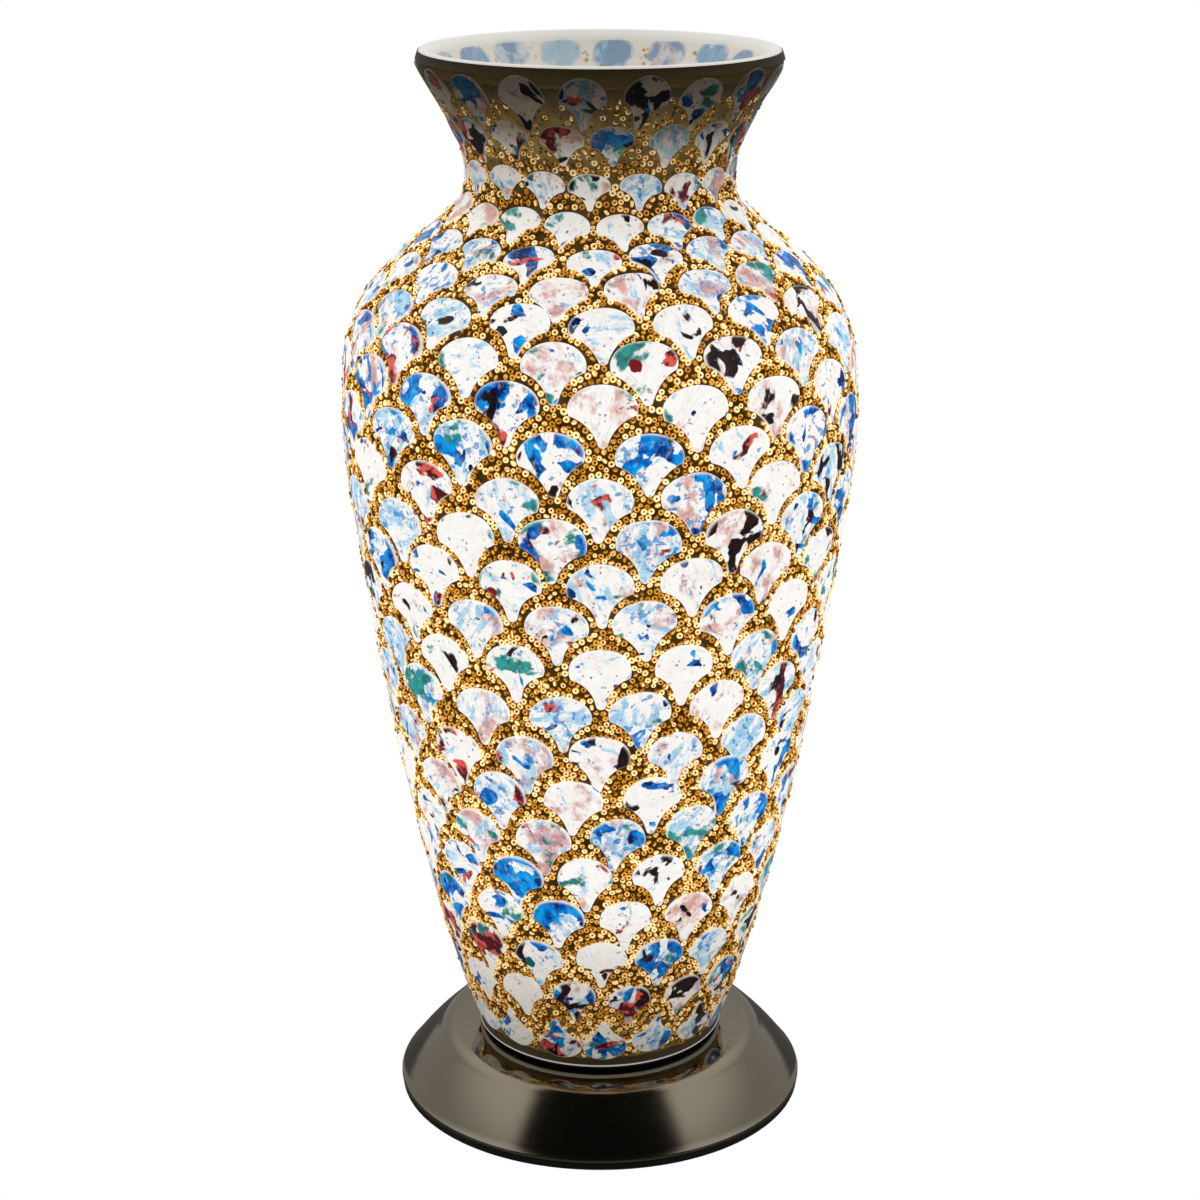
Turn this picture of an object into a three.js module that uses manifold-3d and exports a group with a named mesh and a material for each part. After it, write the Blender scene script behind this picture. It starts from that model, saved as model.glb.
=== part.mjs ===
// Mosaic glass table lamp: a vase of blown glass covered with rows of fan-shaped tiles, standing on a
// spun metal base that carries the lampholder and an opal LED bulb.
// Millimetres, +Z up, origin at the centre of the underside.

import * as THREE from "three";
import { mergeVertices } from "three/addons/utils/BufferGeometryUtils.js";
import Module from "manifold-3d";

const wasm = await Module();
wasm.setup();

// ---------------------------------------------------------------- driving dimensions

const LAMP_HEIGHT = 310; // underside of the pad to the lip of the vase
const BASE_RADIUS = 60.7;
const PLATEAU_RADIUS = 44.2; // flat top of the base
const PLATEAU_Z = 18.6;
const SHELL_WALL = 1;
const PAD_THICKNESS = 2;

const FOOT_Z = 21.3; // ground edge of the glass
const FOOT_RADIUS = 36.6;
const BODY_RADIUS = 72.9; // widest place of the vase
const BODY_Z = 208;
const NECK_RADIUS = 37.2; // narrowest place under the mouth
const NECK_Z = 275.5;
const MOUTH_RADIUS = 50.6; // swell just under the lip
const MOUTH_Z = LAMP_HEIGHT - 3.5;
const MOSAIC_THICKNESS = 2.4; // tiles, beads and their bed of adhesive
const GLASS_WALL = 2.2;
const TILE_ROWS = 24;
const ROW_GROWTH = 1.45; // how much taller the lowest row is than the rows at the neck
const FLARE_ROWS = 2; // rows on the flared mouth, which stand further apart
const FLARE_STRETCH = 1.3;
const RIM_BAND = 5.2; // plain band between the lip and the first row, along the wall
const FOOT_BAND = 2.2; // bare glass between the last row and the ground edge, along the wall

const TUBE_RADIUS = 5; // M10 threaded tube
const TUBE_BORE = 3.6;
const NUT_WIDTH = 14; // across the flats

const HOLDER_RADIUS = 20; // E27 lampholder
const CAP_RADIUS = 13.1; // E27 screw cap
const BULB_RADIUS = 30; // A60 bulb
const BULB_LENGTH = 109;

const CLEARANCE = 0.3; // between pieces that touch in the real lamp
const ROUND = 32; // sides of the large round pieces
const SMALL_ROUND = 24; // sides of the small ones

// ---------------------------------------------------------------- materials

function material(color, roughness, metalness = 0) {
  return () => new THREE.MeshStandardMaterial({ color, roughness, metalness });
}

const gunmetal = material(0x4a4238, 0.32, 1);
const castIron = material(0x3b3b3d, 0.75, 0.8);
const zincPlate = material(0xb9bbbd, 0.35, 1);
const brass = material(0xb99a4f, 0.3, 1);
const blackRubber = material(0x151515, 0.85);
const bakelite = material(0x1b1716, 0.4);
const porcelain = material(0xeeeae2, 0.25);
const frostedGlass = material(0xf2efe9, 0.45);
const bandGlaze = material(0x4a3d22, 0.5);
const mosaicLight = material(0xe9e2d6, 0.3);
const mosaicBlue = material(0xc9d6e2, 0.3);
const nickel = material(0xc9c6bf, 0.25, 1);
const whitePlastic = material(0xf4f4f2, 0.45);
const opalPlastic = material(0xfdf9ee, 0.5);
const circuitBoard = material(0x2f6a45, 0.6);
const aluminium = material(0xd2d4d6, 0.4, 1);

// ---------------------------------------------------------------- making solids

const lamp = new THREE.Group();
lamp.name = "mosaic_table_lamp";

function add(name, geometry, makeMaterial) {
  const mesh = new THREE.Mesh(geometry, makeMaterial());
  mesh.name = name;
  lamp.add(mesh);
}

// A ring turned about Z from a closed outline of [radius, height] points, listed up the outside first.
function ring(outline, sides = ROUND) {
  const closed = [...outline, outline[0]];
  return turned(closed, sides);
}

// A solid of revolution from an outline that starts and ends on the axis, bottom first.
function turned(outline, sides = ROUND) {
  const points = outline.map(([r, z]) => new THREE.Vector2(r, z));
  const geometry = new THREE.LatheGeometry(points, sides);
  return geometry.rotateX(Math.PI / 2);
}

// A round tube standing on Z, from its inner and outer radius and the heights of its ends.
function sleeve(inner, outer, bottom, top, sides = ROUND) {
  return ring(
    [
      [outer, bottom],
      [outer, top],
      [inner, top],
      [inner, bottom],
    ],
    sides,
  );
}

// A round plate or rod on the Z axis.
function disc(radius, bottom, top, sides = ROUND) {
  const outline = [
    [0, bottom],
    [radius, bottom],
    [radius, top],
    [0, top],
  ];
  return turned(outline, sides);
}

// Points [radius, height] along an arc about a centre, angles in degrees from the outward radius.
function arc(centreR, centreZ, radius, from, to, steps) {
  return Array.from({ length: steps + 1 }, (_, i) => {
    const angle = THREE.MathUtils.degToRad(from + ((to - from) * i) / steps);
    return [centreR + radius * Math.cos(angle), centreZ + radius * Math.sin(angle)];
  });
}

function solidOf(geometry) {
  const bare = geometry.clone();
  bare.deleteAttribute("normal");
  bare.deleteAttribute("uv");
  const merged = mergeVertices(bare, 1e-4);
  return new wasm.Manifold(
    new wasm.Mesh({
      numProp: 3,
      vertProperties: merged.attributes.position.array,
      triVerts: new Uint32Array(merged.index.array),
    }),
  );
}

function geometryOf(solid) {
  const mesh = solid.getMesh();
  const geometry = new THREE.BufferGeometry();
  geometry.setAttribute("position", new THREE.BufferAttribute(mesh.vertProperties, 3));
  geometry.setIndex(new THREE.BufferAttribute(mesh.triVerts, 1));
  const flat = geometry.toNonIndexed();
  flat.computeVertexNormals();
  return flat;
}

function cut(geometry, ...tools) {
  const solid = tools.reduce((body, tool) => body.subtract(solidOf(tool)), solidOf(geometry));
  return geometryOf(solid);
}

// A hexagon nut on the Z axis with a plain bore.
function nut(width, bore, bottom, height) {
  const corner = width / Math.sqrt(3);
  const hexagon = new THREE.Shape();
  for (let i = 0; i < 6; i++) {
    const angle = (i * Math.PI) / 3;
    const place = [corner * Math.cos(angle), corner * Math.sin(angle)];
    if (i === 0) hexagon.moveTo(...place);
    else hexagon.lineTo(...place);
  }
  hexagon.closePath();
  hexagon.holes.push(new THREE.Path().absarc(0, 0, bore, 0, 2 * Math.PI, true));
  const options = { depth: height, bevelEnabled: false, curveSegments: SMALL_ROUND / 2 };
  return new THREE.ExtrudeGeometry(hexagon, options).translate(0, 0, bottom);
}

// ---------------------------------------------------------------- base: pad, cover and spun shell

const COVER_BOTTOM = PAD_THICKNESS + CLEARANCE;
const COVER_THICKNESS = 0.8;
const LIP_INNER = BASE_RADIUS - SHELL_WALL - 0.2; // inside of the upright edge of the shell
const TUBE_HOLE = TUBE_RADIUS + 0.6;

const SHOULDER_RADIUS = 6; // rounding between the plateau and the skirt
const SKIRT_SLOPE = 49; // degrees below level
const SKIRT_FOOT = [BASE_RADIUS - 0.6, 3.7]; // where the skirt turns down into the upright edge
const SKIRT_BULGE = 0.35;

// Cable inlet at the back of the skirt: a bush lying along Y.
const INLET_Z = 8.2;
const BUSH_RADIUS = 4.7;
const BUSH_BORE = 3.15;
const BUSH_INSIDE = 48.5;
const BUSH_OUTSIDE = BASE_RADIUS - 0.5;

function buildPadAndCover() {
  add("foot_pad", disc(BASE_RADIUS - CLEARANCE, 0, PAD_THICKNESS), blackRubber);
  const coverTop = COVER_BOTTOM + COVER_THICKNESS;
  add("base_cover", disc(LIP_INNER - CLEARANCE, COVER_BOTTOM, coverTop), zincPlate);
}

function buildShell() {
  const centreZ = PLATEAU_Z - SHOULDER_RADIUS;
  const shoulder = (wall, steps) =>
    arc(PLATEAU_RADIUS, centreZ, SHOULDER_RADIUS - wall, 90 - SKIRT_SLOPE, 90, steps);
  const outerShoulder = shoulder(0, 5);
  const [shoulderR, shoulderZ] = outerShoulder[0];
  const skirtMiddle = [
    (SKIRT_FOOT[0] + shoulderR) / 2 + SKIRT_BULGE,
    (SKIRT_FOOT[1] + shoulderZ) / 2 + SKIRT_BULGE,
  ];
  const outline = [
    [LIP_INNER, COVER_BOTTOM],
    [BASE_RADIUS, COVER_BOTTOM],
    [BASE_RADIUS, SKIRT_FOOT[1] - 0.8],
    SKIRT_FOOT,
    skirtMiddle,
    ...outerShoulder,
    [TUBE_HOLE, PLATEAU_Z],
    [TUBE_HOLE, PLATEAU_Z - SHELL_WALL],
    ...shoulder(SHELL_WALL, 3).reverse(),
    [LIP_INNER, SKIRT_FOOT[1] - 0.6],
  ];
  const holeRadius = BUSH_RADIUS + CLEARANCE;
  const inlet = disc(holeRadius, BUSH_INSIDE - 3, BUSH_OUTSIDE + 3, SMALL_ROUND);
  add("base_shell", cut(ring(outline), towardsBack(inlet)), gunmetal);
}

// Lays a piece made along Z down at the cable inlet, its top pointing out of the back.
function towardsBack(geometry) {
  return geometry.rotateX(-Math.PI / 2).translate(0, 0, INLET_Z);
}

function buildGrommet() {
  const bush = sleeve(BUSH_BORE, BUSH_RADIUS, BUSH_INSIDE, BUSH_OUTSIDE, SMALL_ROUND);
  add("cord_grommet", towardsBack(bush), blackRubber);
}

// ---------------------------------------------------------------- base: the stack on the threaded tube

const WEIGHT_TOP = PLATEAU_Z - SHELL_WALL - CLEARANCE;
const WEIGHT_BOTTOM = 10.7;
const WEIGHT_RADIUS = 40;
const TAG_THICKNESS = 0.8;
const WASHER_THICKNESS = 1.1;
const NUT_HEIGHT = 3.3;

const LOWER_WASHER_BOTTOM = WEIGHT_BOTTOM - CLEARANCE - WASHER_THICKNESS;
const TAG_BOTTOM = LOWER_WASHER_BOTTOM - CLEARANCE - TAG_THICKNESS;
const LOWER_NUT_BOTTOM = TAG_BOTTOM - CLEARANCE - NUT_HEIGHT;

const SEAT_BOTTOM = PLATEAU_Z + CLEARANCE;
const SEAT_WALL = 1.2;
const SEAT_RADIUS = 30.4; // centring ring that stands inside the foot of the vase
const SEAT_TOP = 27;
const UPPER_WASHER_BOTTOM = SEAT_BOTTOM + SEAT_WALL + CLEARANCE;
const UPPER_NUT_BOTTOM = UPPER_WASHER_BOTTOM + WASHER_THICKNESS + CLEARANCE;
const HOLDER_BOTTOM = UPPER_NUT_BOTTOM + NUT_HEIGHT + CLEARANCE;
const TUBE_TOP = HOLDER_BOTTOM + 11;

function buildWeight() {
  const chamfer = 2;
  const outline = [
    [WEIGHT_RADIUS - chamfer, WEIGHT_BOTTOM],
    [WEIGHT_RADIUS, WEIGHT_BOTTOM + chamfer],
    [WEIGHT_RADIUS, WEIGHT_TOP],
    [TUBE_HOLE, WEIGHT_TOP],
    [TUBE_HOLE, WEIGHT_BOTTOM],
  ];
  add("base_weight", ring(outline), castIron);
}

// Ring terminal for the earth wire, with a tongue on one side.
function buildEarthTag() {
  const tagRadius = 8.5;
  const tongueWidth = 6;
  const tongueEnd = 18;
  const bend = Math.asin(tongueWidth / 2 / tagRadius);
  const outline = new THREE.Shape();
  outline.absarc(0, 0, tagRadius, bend, 2 * Math.PI - bend, false);
  outline.lineTo(tongueEnd, -tongueWidth / 2);
  outline.lineTo(tongueEnd, tongueWidth / 2);
  outline.closePath();
  outline.holes.push(new THREE.Path().absarc(0, 0, TUBE_HOLE, 0, 2 * Math.PI, true));
  const options = { depth: TAG_THICKNESS, bevelEnabled: false, curveSegments: SMALL_ROUND / 2 };
  add("earth_tag", new THREE.ExtrudeGeometry(outline, options).translate(0, 0, TAG_BOTTOM), brass);
}

function buildTubeStack() {
  const washer = (bottom) =>
    sleeve(TUBE_HOLE, 2.1 * TUBE_RADIUS, bottom, bottom + WASHER_THICKNESS, SMALL_ROUND);
  const tubeBottom = LOWER_NUT_BOTTOM - 0.6;
  const bore = TUBE_RADIUS + CLEARANCE;
  add("threaded_tube", sleeve(TUBE_BORE, TUBE_RADIUS, tubeBottom, TUBE_TOP, SMALL_ROUND), zincPlate);
  add("lower_nut", nut(NUT_WIDTH, bore, LOWER_NUT_BOTTOM, NUT_HEIGHT), zincPlate);
  add("lower_washer", washer(LOWER_WASHER_BOTTOM), zincPlate);
  add("upper_washer", washer(UPPER_WASHER_BOTTOM), zincPlate);
  add("upper_nut", nut(NUT_WIDTH, bore, UPPER_NUT_BOTTOM, NUT_HEIGHT), zincPlate);
}

// Cup with an upright ring that centres the vase, and the rubber ring under the glass.
function buildSeat() {
  const floorTop = SEAT_BOTTOM + SEAT_WALL;
  const outline = [
    [SEAT_RADIUS, SEAT_BOTTOM],
    [SEAT_RADIUS, SEAT_TOP],
    [SEAT_RADIUS - SEAT_WALL, SEAT_TOP],
    [SEAT_RADIUS - SEAT_WALL, floorTop],
    [TUBE_HOLE, floorTop],
    [TUBE_HOLE, SEAT_BOTTOM],
  ];
  add("vase_seat", ring(outline), zincPlate);
  const gasketInner = SEAT_RADIUS + 2 * CLEARANCE;
  const gasketTop = FOOT_Z - CLEARANCE;
  add("vase_gasket", sleeve(gasketInner, 35.6, SEAT_BOTTOM, gasketTop), blackRubber);
}

// ---------------------------------------------------------------- lampholder

const HOLDER_CAP_TOP = HOLDER_BOTTOM + 18;
const HOLDER_WALL = 3.2;
const HOLDER_TOP = HOLDER_BOTTOM + 52.5;
const INSERT_BOTTOM = HOLDER_CAP_TOP + CLEARANCE;
const INSERT_TOP = INSERT_BOTTOM + 7.4;
const SHELL_BOTTOM = INSERT_TOP + CLEARANCE;
const SHELL_THICKNESS = 0.7;
const SHELL_INNER = CAP_RADIUS + 0.45;
const CONTACT_TOP = SHELL_BOTTOM + 2.2;

// Lower half of the lampholder: a dome screwed on the tube, hollow above for the wiring.
function buildHolderCap() {
  const bore = TUBE_RADIUS + CLEARANCE;
  const neck = 8;
  const cavity = HOLDER_RADIUS - HOLDER_WALL - 1;
  const cavityFloor = HOLDER_BOTTOM + 12.5;
  const outline = [
    [neck, HOLDER_BOTTOM],
    [neck + 1, HOLDER_BOTTOM + 5],
    [HOLDER_RADIUS - 4, HOLDER_BOTTOM + 9],
    [HOLDER_RADIUS - 0.8, HOLDER_BOTTOM + 13],
    [HOLDER_RADIUS - 0.8, HOLDER_CAP_TOP],
    [cavity, HOLDER_CAP_TOP],
    [cavity, cavityFloor],
    [bore, cavityFloor],
    [bore, HOLDER_BOTTOM],
  ];
  add("holder_cap", ring(outline, SMALL_ROUND), bakelite);
}

// Upper half of the lampholder, with a lip over the edge of the screw shell.
function buildHolderBody() {
  const bottom = HOLDER_CAP_TOP + CLEARANCE;
  const bore = HOLDER_RADIUS - HOLDER_WALL;
  const lip = SHELL_INNER + SHELL_THICKNESS + 0.4;
  const outline = [
    [HOLDER_RADIUS, bottom],
    [HOLDER_RADIUS, HOLDER_TOP - 1.5],
    [HOLDER_RADIUS - 1.5, HOLDER_TOP],
    [lip, HOLDER_TOP],
    [lip, HOLDER_TOP - 2],
    [bore, HOLDER_TOP - 2],
    [bore, bottom],
  ];
  add("holder_body", ring(outline, SMALL_ROUND), bakelite);
}

function buildHolderInside() {
  const insertRadius = HOLDER_RADIUS - HOLDER_WALL - CLEARANCE;
  const step = INSERT_BOTTOM + 4.4;
  const insert = [
    [0, INSERT_BOTTOM],
    [insertRadius, INSERT_BOTTOM],
    [insertRadius, step],
    [SHELL_INNER, step],
    [SHELL_INNER, INSERT_TOP],
    [0, INSERT_TOP],
  ];
  add("holder_insert", turned(insert, SMALL_ROUND), porcelain);

  const shellTop = HOLDER_TOP - 2.5;
  const shellOuter = SHELL_INNER + SHELL_THICKNESS;
  const floorHole = 5.2;
  const shell = [
    [shellOuter, SHELL_BOTTOM],
    [shellOuter, shellTop],
    [SHELL_INNER, shellTop],
    [SHELL_INNER, SHELL_BOTTOM + SHELL_THICKNESS],
    [floorHole, SHELL_BOTTOM + SHELL_THICKNESS],
    [floorHole, SHELL_BOTTOM],
  ];
  add("screw_shell", ring(shell, SMALL_ROUND), brass);
  add("centre_contact", disc(3.2, SHELL_BOTTOM, CONTACT_TOP, 16), brass);
}

// Slotted screws that clamp the two wires, heads down in the wiring space.
function buildTerminals() {
  const headRadius = 2.4;
  const length = 3.6;
  const top = INSERT_BOTTOM - CLEARANCE;
  ["terminal_screw_live", "terminal_screw_neutral"].forEach((name, i) => {
    const slot = new THREE.BoxGeometry(2.4 * headRadius, 0.8, 1.6);
    slot.translate(0, 0, top - length);
    const screw = cut(disc(headRadius, top - length, top, 12), slot);
    add(name, screw.translate(i ? 9.5 : -9.5, 0, 0), brass);
  });
}

// ---------------------------------------------------------------- bulb

const BULB_BOTTOM = CONTACT_TOP + CLEARANCE;
const BULB_TOP = BULB_BOTTOM + BULB_LENGTH;
const GLOBE_CENTRE = BULB_TOP - BULB_RADIUS;
const CAP_BOTTOM = BULB_BOTTOM + 6;
const CAP_TOP = BULB_BOTTOM + 26;
const HOUSING_BOTTOM = CAP_TOP + CLEARANCE;
const GLOBE_EDGE = GLOBE_CENTRE - 16; // where the opal globe meets the housing

function buildBulbCap() {
  const contactTop = BULB_BOTTOM + 1.2;
  add("bulb_contact", disc(4.6, BULB_BOTTOM, contactTop, SMALL_ROUND), nickel);
  const insulator = [
    [0, contactTop + CLEARANCE],
    [5.6, contactTop + CLEARANCE],
    [CAP_RADIUS - 1.4, CAP_BOTTOM - CLEARANCE],
    [0, CAP_BOTTOM - CLEARANCE],
  ];
  add("bulb_insulator", turned(insulator, SMALL_ROUND), bakelite);
  const wall = 0.8;
  const cap = [
    [CAP_RADIUS - 1, CAP_BOTTOM],
    [CAP_RADIUS, CAP_BOTTOM + 1.5],
    [CAP_RADIUS, CAP_TOP],
    [CAP_RADIUS - wall, CAP_TOP],
    [CAP_RADIUS - wall, CAP_BOTTOM + 2],
    [CAP_RADIUS - 1 - wall, CAP_BOTTOM],
  ];
  add("bulb_cap", ring(cap, SMALL_ROUND), nickel);
}

function globeRadiusAt(z, radius) {
  return Math.sqrt(radius ** 2 - (z - GLOBE_CENTRE) ** 2);
}

function buildBulbHousing() {
  const wall = 1.5;
  const top = GLOBE_EDGE - CLEARANCE;
  const wide = globeRadiusAt(GLOBE_EDGE, BULB_RADIUS);
  const narrow = CAP_RADIUS + 0.2;
  const middle = [narrow + 0.42 * (wide - narrow), (HOUSING_BOTTOM + top) / 2 + 3];
  const housing = [
    [narrow, HOUSING_BOTTOM],
    [narrow, HOUSING_BOTTOM + 4],
    middle,
    [wide, top],
    [wide - wall, top],
    [middle[0] - wall, middle[1]],
    [narrow - wall, HOUSING_BOTTOM + 4],
    [narrow - wall, HOUSING_BOTTOM],
  ];
  add("bulb_housing", ring(housing, SMALL_ROUND), whitePlastic);
  const driver = new THREE.BoxGeometry(15, 1.6, 24);
  driver.translate(0, 0, HOUSING_BOTTOM + 17);
  add("led_driver", driver, circuitBoard);
}

// A ball cut off flat at the edge of the housing.
function cutBall(radius, bottom, steps) {
  const rise = (bottom - GLOBE_CENTRE) / radius;
  const edgeAngle = THREE.MathUtils.radToDeg(Math.asin(rise));
  const side = arc(0, GLOBE_CENTRE, radius, edgeAngle, 90, steps).slice(0, -1);
  const outline = [[0, bottom], ...side, [0, GLOBE_CENTRE + radius]];
  return turned(outline, SMALL_ROUND);
}

function buildBulbGlobe() {
  const wall = 1.3;
  const inner = BULB_RADIUS - wall;
  const outside = cutBall(BULB_RADIUS, GLOBE_EDGE, 9);
  const hollow = cutBall(inner, GLOBE_EDGE - 1, 8);
  add("bulb_globe", cut(outside, hollow), opalPlastic);
  const boardRadius = globeRadiusAt(GLOBE_EDGE, inner) - 2 * CLEARANCE;
  const board = disc(boardRadius, GLOBE_EDGE, GLOBE_EDGE + 1.6, SMALL_ROUND);
  add("led_board", board, aluminium);
}

// ---------------------------------------------------------------- vase

// Outside of the finished vase, foot to lip, as [radius, height].
const VASE_OUTLINE = [
  [FOOT_RADIUS, FOOT_Z],
  [46, 50],
  [57.5, 100],
  [67.5, 160],
  [BODY_RADIUS, BODY_Z],
  [68.5, 239],
  [50, 259.5],
  [41, 267],
  [NECK_RADIUS, NECK_Z],
  [44, 294],
  [MOUTH_RADIUS, MOUTH_Z],
  [MOUTH_RADIUS - 1, LAMP_HEIGHT],
];
const vaseCurve = new THREE.CatmullRomCurve3(
  VASE_OUTLINE.map(([r, z]) => new THREE.Vector3(r, z, 0)),
  false,
  "centripetal",
);
vaseCurve.arcLengthDivisions = 800;
const WALL_LENGTH = vaseCurve.getLength();

// Point on the outside of the vase a given way down the wall from the lip, moved inwards by a depth.
function onWall(fromLip, depth) {
  const u = 1 - fromLip / WALL_LENGTH;
  const place = vaseCurve.getPointAt(u);
  const along = vaseCurve.getTangentAt(u);
  return [place.x - along.y * depth, place.y + along.x * depth];
}

// Distances from the lip to the edges between the tile rows; rows grow evenly taller downwards, and those
// on the flare are stretched.
function rowEdges() {
  const heights = Array.from(
    { length: TILE_ROWS },
    (_, i) => (1 + ((ROW_GROWTH - 1) * i) / (TILE_ROWS - 1)) * (i < FLARE_ROWS ? FLARE_STRETCH : 1),
  );
  const sum = heights.reduce((a, b) => a + b);
  const unit = (WALL_LENGTH - RIM_BAND - FOOT_BAND) / sum;
  const edges = [RIM_BAND];
  heights.forEach((height) => edges.push(edges.at(-1) + height * unit));
  return edges;
}

function buildGlass(edges) {
  const outerDepth = MOSAIC_THICKNESS + CLEARANCE;
  const innerDepth = outerDepth + GLASS_WALL;
  const outside = edges.map((s) => onWall(s, outerDepth)).reverse();
  const inside = edges.map((s) => onWall(s, innerDepth));
  const footRadius = VASE_OUTLINE[0][0] - 0.2;
  const footBore = footRadius - GLASS_WALL - 0.6;
  const lipRadius = VASE_OUTLINE.at(-1)[0] - 0.9;
  const outline = [
    [footRadius - 0.4, FOOT_Z],
    [footRadius, FOOT_Z + 0.5],
    [footRadius - 0.5, FOOT_Z + 1],
    ...outside,
    [lipRadius, LAMP_HEIGHT - 0.8],
    [lipRadius - GLASS_WALL / 2, LAMP_HEIGHT],
    [lipRadius - GLASS_WALL, LAMP_HEIGHT - 0.8],
    ...inside,
    [footBore, FOOT_Z],
  ];
  add("vase_glass", ring(outline), frostedGlass);
}

// Plain glazed band between the lip and the first row of tiles.
function buildRimBand() {
  const gap = CLEARANCE / 2;
  const lipRadius = VASE_OUTLINE.at(-1)[0];
  const outline = [
    onWall(RIM_BAND - gap, 0),
    onWall(RIM_BAND / 2, 0),
    [lipRadius + 0.2, LAMP_HEIGHT - 1],
    [lipRadius - 0.5, LAMP_HEIGHT - 1],
    onWall(RIM_BAND - gap, MOSAIC_THICKNESS),
  ];
  add("rim_band", ring(outline), bandGlaze);
}

// One closed ring of tiles, beads and adhesive for each row, numbered from the top.
function buildRows(edges) {
  const gap = CLEARANCE / 2;
  for (let row = 0; row < TILE_ROWS; row++) {
    const top = edges[row] + gap;
    const bottom = edges[row + 1] - gap;
    const outline = [
      onWall(bottom, 0),
      onWall(top, 0),
      onWall(top, MOSAIC_THICKNESS),
      onWall(bottom, MOSAIC_THICKNESS),
    ];
    const name = "mosaic_row_" + String(row + 1).padStart(2, "0");
    add(name, ring(outline), row % 2 ? mosaicBlue : mosaicLight);
  }
}

// ---------------------------------------------------------------- assembly

buildPadAndCover();
buildShell();
buildGrommet();
buildWeight();
buildEarthTag();
buildTubeStack();
buildSeat();
buildHolderCap();
buildHolderBody();
buildHolderInside();
buildTerminals();
buildBulbCap();
buildBulbHousing();
buildBulbGlobe();

const edges = rowEdges();
buildGlass(edges);
buildRimBand();
buildRows(edges);

export default lamp;
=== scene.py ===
"""Looks of the mosaic glass table lamp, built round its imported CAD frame.

Lengths are in millimetres until a mesh is made. Places on the vase are given as an angle round
it, which is 0 at the front and grows to the right, and as the way up its wall from the ground edge
of the glass.
"""

import math

import bmesh
import bpy
import numpy as np
from mathutils import Matrix, Vector, noise


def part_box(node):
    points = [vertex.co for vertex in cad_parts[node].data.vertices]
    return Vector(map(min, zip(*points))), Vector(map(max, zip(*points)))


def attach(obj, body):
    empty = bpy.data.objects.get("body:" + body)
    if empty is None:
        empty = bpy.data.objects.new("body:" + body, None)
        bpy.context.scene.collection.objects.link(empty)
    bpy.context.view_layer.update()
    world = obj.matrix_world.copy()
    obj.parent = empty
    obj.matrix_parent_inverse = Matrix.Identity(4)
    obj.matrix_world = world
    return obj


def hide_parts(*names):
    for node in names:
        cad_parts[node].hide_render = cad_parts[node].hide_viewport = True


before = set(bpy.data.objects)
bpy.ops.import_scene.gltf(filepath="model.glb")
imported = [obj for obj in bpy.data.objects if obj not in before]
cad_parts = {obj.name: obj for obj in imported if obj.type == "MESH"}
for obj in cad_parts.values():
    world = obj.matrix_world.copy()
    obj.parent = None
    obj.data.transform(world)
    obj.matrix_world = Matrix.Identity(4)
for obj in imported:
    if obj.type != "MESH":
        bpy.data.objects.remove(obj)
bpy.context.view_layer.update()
rng = np.random.default_rng(24)

MM = 0.001
TURN = 2 * math.pi


# ------------------------------ shader helper


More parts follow.
